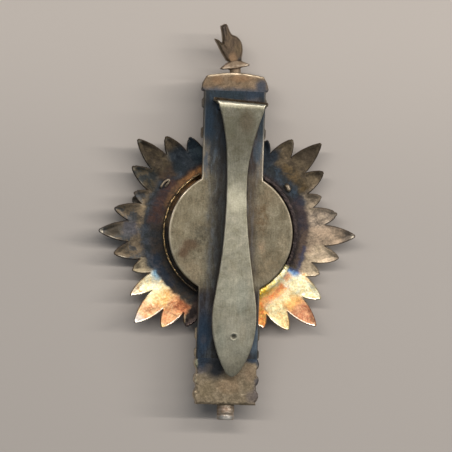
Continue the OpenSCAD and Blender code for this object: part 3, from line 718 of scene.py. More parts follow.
# The clip's strip is carried from its soldered leg round the fold and along the tongue. The fold leans a
# little across the badge, and a small punched dot is pressed in: a round pit with a faint lip round it.
def makeClip(c):
    foldR = c["foldHeight"] / 2
    foldMid = c["foldEnd"] - foldR
    legY = np.linspace(foldMid - c["legLength"], foldMid, 5)[:-1]
    bend = np.radians(np.linspace(-90, 90, 61))[:-1]
    tongueY = foldMid + (c["tip"] - foldMid) * (1 - (1 - np.linspace(0, 1, 330)) ** 1.25)
    out, up = (np.sign(v) * np.abs(v) ** (2 / c["foldSquare"]) for v in (np.cos(bend), np.sin(bend)))
    y = np.concatenate([legY, foldMid + foldR * out, tongueY])
    z = np.concatenate([0 * legY, foldR + foldR * up, smoothCurve(c["heights"], tongueY)])
    topHalf = float(tongueHalf(foldMid, c))
    bendHalf = topHalf + (c["rootHalf"] - topHalf) * np.cos(bend) ** 1.5
    half = np.concatenate([0 * legY + topHalf, bendHalf, tongueHalf(tongueY, c)])
    s = np.concatenate([[0], np.cumsum(np.hypot(np.diff(y), np.diff(z)))])
    share, inset, depth = section = stripSection(c["thick"], c["edge"], 49, 13)
    loops = carryStrip(s, y, z, half, section)
    turn = np.concatenate([0 * legY - math.pi / 2, bend, 0 * tongueY + math.pi / 2])[:, None]
    slant = c["topSlant"] * (1 + np.sin(turn)) / 2 * smoothStep(loops[..., 1], 14.0, 25.0)
    loops[..., 1] -= (slant + c["sideSlant"] * np.cos(turn)) * (loops[..., 0] + c["rootHalf"])
    onTongue = smoothStep(np.arange(len(s))[:, None], len(legY), len(legY) + len(bend))
    loops[..., 0] += smoothCurve(c["drift"], loops[..., 1]) * onTongue
    away = np.hypot(loops[..., 0], loops[..., 1] - c["dotPlace"]) / c["dotRadius"]
    press = c["dotDepth"] * (0.35 * np.exp(-((away - 1.3) / 0.3) ** 2) - np.exp(-away ** 4))
    loops[..., 2] += np.where(depth[None, :] < 0.01, press, 0)
    points = loops + [c["middle"], 0, backZ]
    ripple = 0.03 * (wander(points * [1, 1, 0], 6.0, 3) + 0.5 * wander(points * [1, 1, 0], 2.4, 4))
    points[..., 2] += ripple * smoothStep(-points[..., 1], -22.0, -15.0)
    points[..., 2] = np.clip(points[..., 2], backZ, clipHigh[2])
    outer = depth[None, :] < c["thick"] / 2
    rim = outer * np.clip(1 - np.abs(inset - c["edge"] * 0.3) / (c["edge"] * 0.7), 0, 1)[None, :]
    lean = np.degrees(np.arctan2(np.gradient(z, s), -np.gradient(y, s)))[:, None]
    # Rubbed crest near the top of the fold, pale also as a painted highlight of the lamp.
    rubbedCrestHighlight = outer * np.exp(-((lean - 15) / 8) ** 2) * (y > foldMid)[:, None]
    seam = 0.5 * outer * np.exp(-((lean - 78) / 6) ** 2) * smoothStep(-loops[..., 0], -2.0, 2.0)
    patchy = 0.55 + 0.45 * wander(points, 2.5, 9)
    leftRim = (share[None, :] < 0) * smoothStep(loops[..., 1], -12, -2) * smoothStep(loops[..., 1], 14, 8)
    wearAndPaintedLight = rim * patchy * (0.35 + 0.9 * leftRim) * (y < foldMid)[:, None] + rubbedCrestHighlight + seam
    strip = loft(points, wearAndPaintedLight=np.clip(wearAndPaintedLight, 0, 1))
    storePiece("springClip", [strip], finishes["clip"], "spring_clip", 50)


makeClip(clipSizes)

# Back plate: the bar with the disc across it.
plateSizes = {"discRadius": 12.45, "barHalf": 6.15, "thick": 0.9, "edge": 0.26, "wave": 0.035,
              "waveLength": 9.0}


# The plate is a strip carried down its length, its half-width the bar's or the disc's circle where that is
# wider. Its back is a little wavy and its rims are rubbed, paler on the upper left as a painted highlight.
def makeBackPlate(c):
    corner = math.sqrt(c["discRadius"] ** 2 - c["barHalf"] ** 2)
    y = np.concatenate([np.linspace(backLow[1], -corner, 40)[:-1], eased(-corner, corner, 170),
                        np.linspace(corner, backHigh[1], 50)[1:]])[::-1]
    half = np.maximum(c["barHalf"], np.sqrt(np.maximum(c["discRadius"] ** 2 - y * y, 0)))
    share, inset, depth = section = stripSection(c["thick"], c["edge"], 71, 21)
    loops = carryStrip(-y, y, np.full_like(y, backZ), half, section)
    wave = c["wave"] * (wander(loops * [1, 1, 0], c["waveLength"], 8) - 1)
    wave *= (smoothStep(y, backLow[1], backLow[1] + 3) * smoothStep(y, backHigh[1], backHigh[1] - 3))[:, None]
    loops[..., 2] += np.where(depth[None, :] < c["thick"] / 2, np.clip(wave, -3 * c["wave"], 0), 0)
    rim = (depth[None, :] < c["edge"]) * np.where(inset[None, :] < c["edge"] * 0.95, 1.0, 0.5)
    # The rim is paler towards the upper left: a painted highlight on the edges that face the light.
    left = smoothStep(-0.6 * loops[..., 0] + loops[..., 1], -3.0, 8.0)
    patchy = 0.75 + 0.4 * wander(loops, 3.0, 12)
    rim = np.where(share[None, :] ** 2 > 0.999, rim, 0) * (1 - 0.8 * smoothStep(np.abs(loops[..., 1]), 16, 23))
    rim *= 1 - 0.4 * smoothStep(np.abs(loops[..., 1]), 10.9, 11.8)
    wearAndPaintedLight = np.clip(rim * patchy * (0.25 + 0.75 * left), 0, 1)
    storePiece("barAndDisc", [loft(loops, wearAndPaintedLight=wearAndPaintedLight)], finishes["sheet"], "back_plate", 50)


makeBackPlate(plateSizes)

# Ray plate. Columns of a kind of ray: radius of its tip, radius of its widest place, half of its width.
raySizes = {"kinds": [(25.89, 19.2, 2.18), (23.08, 17.6, 2.12), (20.5, 15.6, 2.02), (23.08, 17.6, 2.12)],
            "longer": {1: -0.45, 4: 0.3, 10: 0.3, 12: 0.22, 13: 0.3, 15: 0.2, 17: 0.1, 31: 0.1},
            "leaner": {19: 0.78},
            "step": 11.25, "count": 32, "hidden": (7, 8, 9, 23, 24, 25), "turn": 0.5, "web": 17.0,
            "thick": 1.1, "floor": 4.0, "rise": 1.6, "flat": 14.0, "edge": 0.2, "core": 9.0,
            "tipRadius": 0.42, "tipCut": 0.4, "hollowDepth": 0.12, "hollowLength": 5.0, "perRay": 17,
            "rows": 54}


# Half-width of a ray at the place x along its axis, the height of its side's arc.
def rayHalf(x, kind):
    reach = kind[0] - kind[1]
    side = (reach ** 2 + kind[2] ** 2) / (2 * kind[2])
    return np.sqrt(np.maximum(side ** 2 - (x - kind[1]) ** 2, 0)) - (side - kind[2])


# The same with the tip cut back and rounded by a small circle.
def bluntHalf(x, kind, c):
    longer = (kind[0] + c["tipCut"], kind[1], kind[2])
    fromTip = np.clip(kind[0] - x, 0, c["tipRadius"])
    circle = np.sqrt(np.maximum(fromTip * (2 * c["tipRadius"] - fromTip), 0))
    inner = np.maximum(rayHalf(x, longer), 0)
    return np.where(kind[0] - x < c["tipRadius"], np.minimum(inner, circle), inner)


# Radius on the ray's side at which the next ray's side crosses it, found where the two arcs meet.
def valleyPlace(kind, nextKind, step):
    x = np.linspace(kind[1] - 3, kind[0], 4000)
    h = rayHalf(x, kind)
    turn = math.radians(step)
    nx = x * math.cos(turn) + h * math.sin(turn)
    ny = x * math.sin(turn) - h * math.cos(turn)
    return x[np.abs(ny) < rayHalf(nx, nextKind)].max()


# Kind of each ray, some of them a little longer, shorter or leaner, as hand-cut rays are.
def rayKinds(c):
    longer, leaner = c["longer"], c["leaner"]
    rays = [(i, *c["kinds"][i % 4]) for i in range(c["count"])]
    return [(tip + longer.get(i, 0.0), wide, half * leaner.get(i, 1.0)) for i, tip, wide, half in rays]


# Outline of the plate as one closed loop: up one side of each ray and down the other, or the round web
# where a ray is hidden.
def starOutline(c):
    parts = []
    kinds, step, count = rayKinds(c), c["step"], c["count"]
    for i, kind in enumerate(kinds):
        turn = math.radians(i * step + c["turn"])
        if i in c["hidden"]:
            angle = turn + np.radians(np.linspace(-step / 2, step / 2, 2 * c["perRay"], endpoint=False))
            parts.append(np.stack([c["web"] * np.cos(angle), c["web"] * np.sin(angle)], -1))
            continue
        halves = []
        for side, j in ((-1, (i - 1) % count), (1, (i + 1) % count)):
            if j in c["hidden"]:
                x = np.linspace(kind[1] - 3, kind[0], 4000)
                low = x[np.hypot(x, rayHalf(x, kind)) > c["web"]].min()
            else:
                low = valleyPlace(kind, kinds[j], step)
            bend = np.linspace(0, math.pi * 0.8, c["perRay"] + 1)
            x = kind[0] - (kind[0] - low) * (1 - np.cos(bend)) / (1 - np.cos(bend[-1]))
            halves.append(np.stack([x, side * bluntHalf(x, kind, c)], -1))
        loop = np.concatenate([halves[0][::-1], halves[1][1:-1]])
        cos, sin = math.cos(turn), math.sin(turn)
        parts.append(np.stack([loop[:, 0] * cos - loop[:, 1] * sin, loop[:, 0] * sin + loop[:, 1] * cos], -1))
    return np.concatenate(parts)


# Radius of points, their distance from the tip of their nearest ray, whether that ray is there, and how far
# the side of the ray that they are on faces down the badge, the cosine of the ray's angle.
def inRay(x, y, c):
    r = np.hypot(x, y)
    angle = np.degrees(np.arctan2(y, x)) - c["turn"]
    nearest = np.round(angle / c["step"])
    local = np.radians(angle - nearest * c["step"])
    number = nearest.astype(int) % c["count"]
    down = -np.sign(local) * np.cos(np.radians(nearest * c["step"] + c["turn"]))
    return r, np.array(rayKinds(c))[number][..., 0] - r * np.cos(local), ~np.isin(number, c["hidden"]), down


# Height of the dish: flat in the middle and rising with the square of the distance beyond.
def dishHeight(r, c):
    return c["floor"] + c["rise"] * (np.maximum(r - c["flat"], 0) / (c["kinds"][0][0] - c["flat"])) ** 2


# The plate runs from a round core out to its outline in rows. Each ray is pressed in near its tip, inside a
# narrow lip that runs along the outline, and fades out towards the middle. The rim is rounded. The lips and
# tips carry a painted highlight and the rim a painted shade, set by how each side faces the light.
def makeRayPlate(c):
    outline = starOutline(c)
    angle = np.arctan2(outline[:, 1], outline[:, 0])
    core = c["core"] * np.stack([np.cos(angle), np.sin(angle)], -1)
    share = np.concatenate([np.linspace(0, 0.5, 10)[:-1], 1 - 0.5 * np.linspace(1, 0, c["rows"]) ** 1.5])
    rows = core[None] + (outline - core)[None] * share[:, None, None]
    x, y = rows[..., 0], rows[..., 1]
    r, fromTip, there, down = inRay(x, y, c)
    rimGap = outlineDistance(x, y, outline)
    outward = smoothStep(r, 15.5, 18.5)
    flat = np.stack([x, y, 0 * x], -1)
    depth = c["hollowDepth"] * (1 + 0.35 * wander(flat, 9.0, 20))
    hollow = depth * there * (1 - smoothStep(fromTip, 1.5, c["hollowLength"])) * smoothStep(rimGap, 0.2, 1.0)
    uneven = 0.06 * wander(flat, 5.0, 21) + 0.03 * wander(flat, 1.8, 22) + 0.012 * wander(flat, 0.8, 24)
    back = dishHeight(r, c) + uneven * outward - hollow * outward - roundOff(rimGap, c["edge"])
    under = dishHeight(r, c) - c["thick"] + roundOff(rimGap, c["edge"])
    fewer = np.unique(np.concatenate([np.arange(0, len(share), 3), [len(share) - 2, len(share) - 1]]))
    backGrid, frontGrid = np.stack([x, y, back], -1), np.stack([x, y, under], -1)[fewer]
    t = np.array([1 / 3, 2 / 3])[:, None, None]
    wall = backGrid[-1:] * (1 - t) + frontGrid[-1:] * t
    loops = np.concatenate([backGrid, wall, frontGrid[::-1]])
    wearAndPaintedLight = np.zeros(loops.shape[:2])
    # Painted light on the rays: a highlight along the lips, strongest on the lower rays and on the sides that
    # face down the badge, a highlight at each tip, and a painted shade along the rim, widest on the sides that
    # face up.
    bright = smoothStep(-y, 8.0, 14.0)
    lip = np.exp(-((rimGap - 0.3 + 0.08 * bright) / 0.12) ** 2) * (1 - 0.5 * smoothStep(y, 2.0, 8.0))
    lip *= (0.1 + 0.8 * wander(flat, 3.0, 23) + 0.8 * bright) * smoothStep(fromTip - 3 * bright, 6.0, 3.0)
    tip = np.exp(-((fromTip - 0.5) / 0.35) ** 2) * (0.15 + 0.8 * wander(flat, 5.0, 2968)) * (rimGap > 0.1)
    low = smoothStep(down, -0.35, 0.45)
    dark = (0.7 + 0.5 * (1 - low)) * np.exp(-(rimGap / (0.14 + 0.1 * (1 - low) - 0.06 * bright * low)) ** 4)
    wearAndPaintedLight[:len(share)] = np.clip(lip * (0.15 + 0.85 * low) + tip, 0, 1) - dark
    plate = loft(loops, wearAndPaintedLight=wearAndPaintedLight)
    storePiece("rayPlate", [plate], finishes["ray"], "ray_plate", 60, roundMiddle)


makeRayPlate(raySizes)

# Collar on the ray plate, two arcs beside the bar: a thin wall on the left, and a wider one with a fillet of
# solder that reaches in to the disc on the right.
collarSizes = {"outer": 13.58, "walls": (0.92, 0.4), "top": 6.8, "crown": 0.2, "floor": 3.98, "opening": 28.0,
               "spread": 0.25, "crumbs": 0.04}


# A wall with a rounded crest, half an ellipse, carried round the disc and left uneven like solder.
def makeCollar(c):
    arcs = []
    for start, wall in zip((-90, 90), c["walls"]):
        inner = c["outer"] - wall
        turn = np.linspace(0, math.pi, 13)
        crest = c["top"] - c["crown"]
        crown = np.stack([inner + wall / 2 * (1 + np.cos(turn)), crest + c["crown"] * np.sin(turn)], -1)
        side = np.linspace(c["floor"], crest, 6)[:-1]
        profile = np.concatenate([np.stack([0 * side + c["outer"], side], -1), crown,
                                  np.stack([0 * side + inner, side[::-1]], -1)])
        angles = np.linspace(start + c["opening"], start + 180 - c["opening"], 420)
        loops = turnedRing(profile, angles)
        spread = c["spread"] * smoothStep(profile[:, 0], inner, c["outer"]) / profile[:, 0]
        loops[..., :2] *= (1 + smoothStep(angles, -22.0, -38.0)[:, None] * spread)[..., None]
        uneven = roughen(0 * loops, loops, 0.9, c["crumbs"], 41)
        loops += uneven * smoothStep(loops[..., 2], c["floor"], c["floor"] + 0.5)[..., None]
        loops[..., 2] = np.minimum(loops[..., 2], c["top"])
        wearAndPaintedLight = np.broadcast_to(smoothStep(profile[:, 1], c["top"] - 0.14, c["top"] - 0.02), loops.shape[:2])
        arcs.append(loft(loops, wearAndPaintedLight=wearAndPaintedLight * (0.3 if wall > 0.5 else 1.0)))
    storePiece("collarWall", arcs, finishes["collar"], "ray_plate", 50)


makeCollar(collarSizes)

# Blocks at the bar's ends. The cap has its outline from the bar's end over the shoulders to the cambered top,
# the foot has knobs at its sides as (place, radius). Both have an arc for their front.
capSizes = {"half": 6.7, "foot": 0.45, "waist": (6.4, 30.2), "shoulder": (5.7, 31.5), "camber": 23.6,
            "front": 1.5, "frontArc": 9.0, "frontGap": 1.0, "edge": 0.22, "ragged": 0.0, "slopeWidth": 0.6,
            "slope": 0.2, "roughSize": 1.4, "roughHeight": 0.02}
footSizes = {"half": 6.05, "knobs": [(-26.1, 1.55), (-29.3, 1.5), (-32.5, 1.55)], "knobOut": 0.5, "front": 1.5,
             "frontArc": 9.0, "frontGap": 1.5, "edge": 0.5, "ragged": 0.5, "slopeWidth": 0.6, "slope": 0.0,
             "roughSize": 1.5, "roughHeight": 0.025}


# Loops of a block from the bar outwards: a back whose rim is rounded, ragged or sloping, an arc across its
# front, and a skin that wobbles inside the block's own box, less where it meets the bar. Also gives their
# distance from the outline.
def endBlock(c, y, half, low, high, across, wall, seed):
    outline = np.concatenate([np.stack([half, y], -1), np.stack([-half, y], -1)[::-1]])
    x, yy = blockGrid(y, half, across)
    rim = outlineDistance(x, yy, outline, False)
    edge = c["edge"] * (1 + c["ragged"] * wander(np.stack([x, yy, 0 * x], -1), 1.1, 51))
    slope = c["slope"] * np.clip(c["slopeWidth"] - rim, 0, c["slopeWidth"] - c["edge"])
    slope *= smoothStep(yy, 31.0, 31.3)
    front = np.minimum(c["front"] + sag(c["frontArc"], x) + roundOff(rim, c["edge"]), backZ - c["frontGap"])
    loops = carryBlock(x, yy, backZ - roundOff(rim, edge) - slope, front, wall)
    skin = roughen(0 * loops, loops, c["roughSize"], c["roughHeight"], seed)
    skin = roughen(skin, loops, c["roughSize"] * 0.4, c["roughHeight"] * 0.5, seed + 7)
    free = smoothStep(np.abs(loops[..., 1] - y[0]), 0.0, 0.5)
    loops = np.clip(loops + skin * (0.2 + 0.8 * free)[..., None], low, high)
    return loops, outlineDistance(loops[..., 0], loops[..., 1], outline, False)


# Half-width of the cap: straight sides that narrow by the table, rounded at their lower corners and cut off by
# the camber's circle at the top.
def makeHeadCap(c):
    top = capHigh[1]
    y = np.concatenate([np.linspace(capLow[1], c["shoulder"][1], 40)[:-1],
                        top - (top - c["shoulder"][1]) * np.linspace(1, 0, 26) ** 2])
    (waist, waistY), (shoulder, shoulderY) = c["waist"], c["shoulder"]
    sides = np.interp(y, [capLow[1] + c["foot"], waistY, shoulderY], [c["half"], waist, shoulder])
    arc = np.sqrt(np.maximum(c["camber"] ** 2 - (y - top + c["camber"]) ** 2, 0))
    half = np.minimum(sides - roundOff(y - capLow[1], c["foot"]), arc)
    loops, rim = endBlock(c, y, half, capLow, capHigh, 81, 20, 31)
    # Painted highlight: a pale line along the cap's upper back edge, on the side that faces the light.
    wearAndPaintedLight = smoothStep(rim, 0.5, 0.3) * (loops[..., 2] > 7.4) * smoothStep(loops[..., 1], 31.0, 31.4)
    wearAndPaintedLight = np.clip(wearAndPaintedLight * (0.85 + 0.4 * wander(loops, 2.0, 14)), 0, 1)
    storePiece("headCap", [loft(loops, wearAndPaintedLight=wearAndPaintedLight)], finishes["cap"], "head_cap", 50)


# Half-width of the foot: the straight side, or a knob's circle where that stands out further.
def makeFoot(c):
    y = np.linspace(footHigh[1], footLow[1], 110)
    half = np.full_like(y, c["half"])
    for place, radius in c["knobs"]:
        reach = np.sqrt(np.maximum(radius ** 2 - (y - place) ** 2, 0))
        half = np.where(reach > 0, np.maximum(half, c["half"] + c["knobOut"] - radius + reach), half)
    loops, rim = endBlock(c, y, half, footLow, footHigh, 121, 30, 61)
    # Pale rim along the foot's left side: rubbed, and a painted highlight there.
    wearAndPaintedLight = (rim < 0.2) * smoothStep(-loops[..., 0], 5.4, 6.0) * (0.8 + 0.6 * wander(loops, 1.6, 15))
    body = loft(loops, wearAndPaintedLight=np.clip(wearAndPaintedLight, 0, 1))
    storePiece("footBlock", [body], finishes["foot"], "foot_block", 60)


makeHeadCap(capSizes)
makeFoot(footSizes)

# Rod bundle: bands as (from, to) along the badge, rods side by side, and the strap between them.
bundleSizes = {"rodRadius": 1.0, "pitch": 1.7, "rods": 7, "rodFront": 2.3, "rodFall": 0.16,
               "bands": [(19, 21.2), (25.1, 27.1), (-21.4, -19), (-25, -23.2)], "bandHalf": 6.45,
               "bandFront": 1.8, "frontArc": 9.0, "bandEdge": 0.3, "rodsFrom": 19.0, "spineHalf": 5.9,
               "spineFront": 4.5, "hubRadius": 11.6, "hubFloor": 4.0}


# Front of the reeded rods: the nearest of the rods' circles at each x.
def rodsFront(x, c):
    front = np.full_like(x, np.inf)
    middle = (c["rods"] - 1) / 2
    for i in range(c["rods"]):
        step = i - middle
        centre = c["rodFront"] + c["rodRadius"] + c["rodFall"] * step * step
        reach = c["rodRadius"] ** 2 - (x - step * c["pitch"]) ** 2
        front = np.where(reach >= 0, np.minimum(front, centre - np.sqrt(np.maximum(reach, 0))), front)
    return np.where(np.isfinite(front), front, c["rodFront"] + 3)


# The bundle changes its front along y from rods to bands to the plain strap, with rounded shoulders at the
# bands. A round hub lies behind the disc.
def makeBundle(c):
    under = backLow[2]
    tiny = 0.015
    cuts = sorted({e for band in c["bands"] for e in band} | {backLow[1], backHigh[1]})
    stretches = [np.linspace(a + tiny, b - tiny, max(6, int((b - a) / 0.25))) for a, b in zip(cuts, cuts[1:])]
    y = np.unique(np.concatenate(stretches + [[cuts[0]], [cuts[-1]]]))
    inBand = np.zeros(len(y), bool)
    edgeGap = np.full(len(y), 9.0)
    for a, b in c["bands"]:
        here = (y > a) & (y < b)
        inBand |= here
        edgeGap = np.where(here, np.minimum(y - a, b - y), edgeGap)
    rods = (np.abs(y) > c["rodsFrom"]) & ~inBand
    rodHalf = (c["rods"] - 1) / 2 * c["pitch"] + c["rodRadius"]
    bandHalf = c["bandHalf"] - roundOff(edgeGap, c["bandEdge"])
    half = np.select([inBand, rods], [bandHalf, rodHalf], c["spineHalf"])
    x, yy = blockGrid(y, half, 121)
    band = c["bandFront"] + sag(c["frontArc"], x) + roundOff(edgeGap[:, None], c["bandEdge"])
    front = np.where(inBand[:, None], band, np.where(rods[:, None], rodsFront(x, c), c["spineFront"]))
    body = loft(carryBlock(x, yy, np.full_like(x, under), front, 7))
    hub = loft(turnedSolid([(0, c["hubFloor"]), (c["hubRadius"], c["hubFloor"]), (c["hubRadius"], under),
                            (0, under)], 128), False, False)
    storePiece("rodBundle", [body, hub], finishes["bundle"], "rod_bundle", 35)


makeBundle(bundleSizes)

# Plain front: the medallion with its raised rim, and the ring round it with its pins and one leaf tip.
# Columns of a pin: x, y, heading, half length and half width of its bend, radius of its wire, angle it ends at.
medalSizes = {"radius": 12.4, "rim": 1.6, "step": 1.1, "sink": 0.9, "back": 2.9, "crown": 0.35}
ringSizes = {"middle": 15.7, "half": 1.5, "front": 1.3, "back": 2.9, "leafAngle": 161.5, "leafTip": 20.3,
             "leafWide": 18.7, "leafHalf": 1.35, "leafThick": 1.2, "pinUp": 0.95,
             "pins": [(12.05, 9.4, -66, 0.66, 0, 0.5, 0.5), (-12.8, 9.55, 48, 1.1, 0.36, 0.24, -2.1)]}


# The medallion's profile: a low dome, a rounded rim and a sloping shoulder.
def makeMedallion(c):
    rimIn, rimOut = c["radius"] - c["step"] - c["rim"], c["radius"] - c["step"]
    domeR = np.linspace(0, rimIn - 0.3, 14)
    dome = np.stack([domeR, c["sink"] - c["crown"] * (1 - (domeR / rimIn) ** 2)], -1)
    turn = np.linspace(0, math.pi, 17)
    rim = np.stack([rimOut - c["rim"] / 2 * (1 + np.cos(turn)), c["sink"] * (1 - np.sin(turn) ** 0.6)], -1)
    side = np.array([[rimOut + 0.25, c["sink"] * 0.9], [c["radius"] - 0.1, c["step"] + 0.2],
                     [c["radius"], c["step"] + 0.5], [c["radius"], c["back"]], [0, c["back"]]])
    body = loft(turnedSolid(np.concatenate([dome, rim, side]), 192), False, False)
    storePiece("medallion", [body], finishes["front"], "medallion", 45, roundMiddle)


makeMedallion(medalSizes)


# A pin that rises from the ring and is bent over on the plate: circles carried straight up and then along part
# of an ellipse with the semi-axes long and across, its long axis at the heading.
def pinLoft(x, y, heading, long, across, wire, sweep, c):
    a = math.radians(heading)
    top = dishHeight(math.hypot(x, y), raySizes) + c["pinUp"] - wire
    along, outward = np.array([math.cos(a), math.sin(a), 0.0]), np.array([-math.sin(a), math.cos(a), 0.0])
    turn = np.linspace(2.8, sweep, 40)[:, None]
    lie = np.array([x, y, top]) + along * long * np.cos(turn) + outward * across * np.sin(turn)
    lie[:, 2] -= 0.2 * smoothStep(np.arange(40), 24, 39)
    rise = lie[0] - [0, 0, 1.0] * np.linspace(top - c["back"] + 1, 0.25, 8)[:, None]
    centre = np.concatenate([rise, lie[2:]])
    way = np.gradient(centre, axis=0)
    way /= np.linalg.norm(way, axis=1)[:, None]
    level = np.hypot(way[:, 0], way[:, 1])[:, None]
    first = (lie[3] - lie[2]) * [1, 1, 0]
    first /= np.linalg.norm(first)
    side = np.cross(way, level * [0, 0, 1.0] - first * way[:, 2:])
    side /= np.linalg.norm(side, axis=1)[:, None]
    up = np.cross(side, way)
    length = np.concatenate([[0], np.cumsum(np.linalg.norm(np.diff(centre, axis=0), axis=1))])
    cap = np.sqrt(1 - (1 - np.clip((length[-1] - length) / wire, 0, 1)) ** 2)
    round1 = np.linspace(0, 2 * math.pi, 20, endpoint=False)
    loops = centre[:, None] + wire * cap[:, None, None] * (
        np.cos(round1)[None, :, None] * side[:, None] + np.sin(round1)[None, :, None] * up[:, None])
    # The wire's upper side is pale: a painted highlight.
    return loft(loops, True, False, wearAndPaintedLight=0.5 * smoothStep(loops[..., 2], top, top + wire * 0.8))


# The ring is a half-round carried round the medallion. One leaf tip of it shows between two rays.
def makeRing(c):
    turn = np.linspace(0, math.pi, 21)
    height = c["back"] - c["front"]
    arc = np.stack([c["middle"] + c["half"] * np.cos(turn), c["back"] - height * np.sin(turn)], -1)
    ringLoops = turnedRing(arc, np.linspace(0, 360, 241))
    parts = [loft(ringLoops, False, False)] + [pinLoft(*pin, c) for pin in c["pins"]]
    x = c["middle"] + eased(0, c["leafTip"] - c["middle"], 26)
    half = np.maximum(rayHalf(x, (c["leafTip"], c["leafWide"], c["leafHalf"])), 0)
    u = np.linspace(-1, 1, 15)
    across = u[None, :] * half[:, None]
    along = np.broadcast_to(x[:, None], across.shape)
    top = c["back"] - 0.05 - 0.3 * (1 - np.abs(u))[None, :] * (half / c["leafHalf"])[:, None]
    low = top - c["leafThick"] * 0.8 * (1 - 0.5 * np.abs(u)[None, :])
    leaf = [np.stack([along, across, z], -1) for z in (top, low)]
    loops = np.concatenate([leaf[0], leaf[1][:, ::-1]], axis=1)
    t = math.radians(c["leafAngle"])
    turnLeaf = np.array([[math.cos(t), math.sin(t), 0], [-math.sin(t), math.cos(t), 0], [0, 0, 1]])
    parts.append(loft(loops @ turnLeaf))
    storePiece("wreathRing", parts, finishes["bundle"], "wreath_ring", 45, roundMiddle)


makeRing(ringSizes)

# Staff: the cuff's and the butt's profiles are (place along the staff, radius), turned in steps.
cuffSizes = {"steps": 96, "staff": -0.1, "axis": 5.7, "back": 7.2, "tilt": 9.4, "brim": 33.5, "neckFrom": 32.2,
             "profile": [(-1.6, 1.2), (-1, 1.12), (-0.6, 1.1), (-0.42, 1.2), (-0.32, 1.5), (-0.26, 2),
                         (-0.22, 2.6), (-0.14, 2.95), (0, 3.03), (0.12, 2.96), (0.34, 2.6), (0.6, 2.15),
                         (0.85, 1.75), (1.02, 1.5), (1.12, 1.3), (1.14, 0)]}
buttSizes = {"steps": 96, "staff": 0.2, "axis": 5.8, "back": 7.6, "tilt": 0.0, "brim": 0.0, "neckFrom": -99.0,
             "profile": [(-37.38, 0), (-37.38, 1.6), (-37.28, 1.72), (-37.1, 1.735), (-36.5, 1.735),
                         (-36.38, 1.71), (-36.3, 1.68), (-36.22, 1.68), (-36.14, 1.71), (-36.04, 1.735),
                         (-35.3, 1.735), (-35.1, 1.71), (-34.7, 1.7), (-34.3, 1.7), (-34.3, 0)]}


# A profile turned about the staff's own axis, cut flat at the back, its upper part turned by the tilt about
# the brim. Bright wear lies where the radius is near its largest.
def makeStaffEnd(c, name, node):
    rows = np.array(c["profile"], float)
    t = np.linspace(0, len(rows) - 1, 4 * (len(rows) - 1) + 1)
    place, radius = (np.interp(t, np.arange(len(rows)), rows[:, k])[:, None] for k in (0, 1))
    angle = np.linspace(0, 2 * math.pi, c["steps"], endpoint=False)
    x, y, z = radius * np.cos(angle), place + 0 * angle, radius * np.sin(angle)
    a = math.radians(c["tilt"]) * np.clip((y + 1.6) / 0.8, 0, 1)
    loops = np.stack([x * np.cos(a) - y * np.sin(a) + c["staff"],
                      np.maximum(x * np.sin(a) + y * np.cos(a) + c["brim"], c["neckFrom"]), z + c["axis"]], -1)
    loops = roughen(loops, loops, 1.2, 0.015, 71)
    loops[..., 2] = np.minimum(loops[..., 2], c["back"] - 0.02)
    loops[..., 1] = np.maximum(loops[..., 1], c["neckFrom"])
    wearAndPaintedLight = np.clip((radius / rows[:, 1].max() - 0.9) / 0.1, 0, 1) * (0.5 + 0.5 * wander(loops, 1.0, 18))
    body = loft(loops, bool(rows[0, 1] > 0), False, np.clip(wearAndPaintedLight, 0, 1))
    storePiece(name, [body], finishes["staff"], node, 50)


makeStaffEnd(cuffSizes, "staffCuff", "staff_cuff")
makeStaffEnd(buttSizes, "staffButt", "staff_butt")

# Hand: its outline from the left of the wrist round over the thumb, and the raised fingers.
handSizes = {"rest": (-0.8, 36.2), "edge": 0.6, "steps": 12, "rows": 30,
             "outline": [(-1.6, 34.5), (-2.4, 35.35), (-3.1, 36.4), (-3.75, 37.7), (-4.42, 38.93),
                         (-3.8, 38.93), (-3.25, 38.6), (-2.88, 38.2), (-2.85, 38.8), (-3, 40), (-3.28, 41.4),
                         (-3, 41.75), (-2.4, 42.05), (-1.87, 41.9), (-1.55, 41.2), (-1.2, 40.4),
                         (-0.8, 39.95), (-0.1, 39.7), (0.55, 39.25), (1.05, 38.55), (1.33, 37.7),
                         (1.42, 36.7), (1.28, 35.6), (1, 34.5)],
             "fingerGap": ((-2.5, 42.2), (-2.1, 39.6), 0.16, 0.1),
             "curled": [(-0.55, 38.7, 0.5, 0.9), (0.25, 38.3, 0.48, 0.85), (0.9, 37.7, 0.4, 0.75),
                        (-1.9, 37.5, 0.6, 0.5)],
             "creases": [((-2.9, 38.1), (-2.0, 36.8), 0.3, 0.08), ((-0.9, 39.6), (-0.5, 37.2), 0.25, 0.03),
                         ((0.0, 39.4), (0.2, 37.0), 0.25, 0.03)]}


# Depth of a groove along a line from a to b, a bell curve across it.
def groove(x, y, a, b, width, depth):
    a, b = np.array(a), np.array(b)
    along = b - a
    t = np.clip(((x - a[0]) * along[0] + (y - a[1]) * along[1]) / (along @ along), 0, 1)
    gap = np.hypot(x - a[0] - t * along[0], y - a[1] - t * along[1])
    return depth * np.exp(-(gap / width) ** 2)


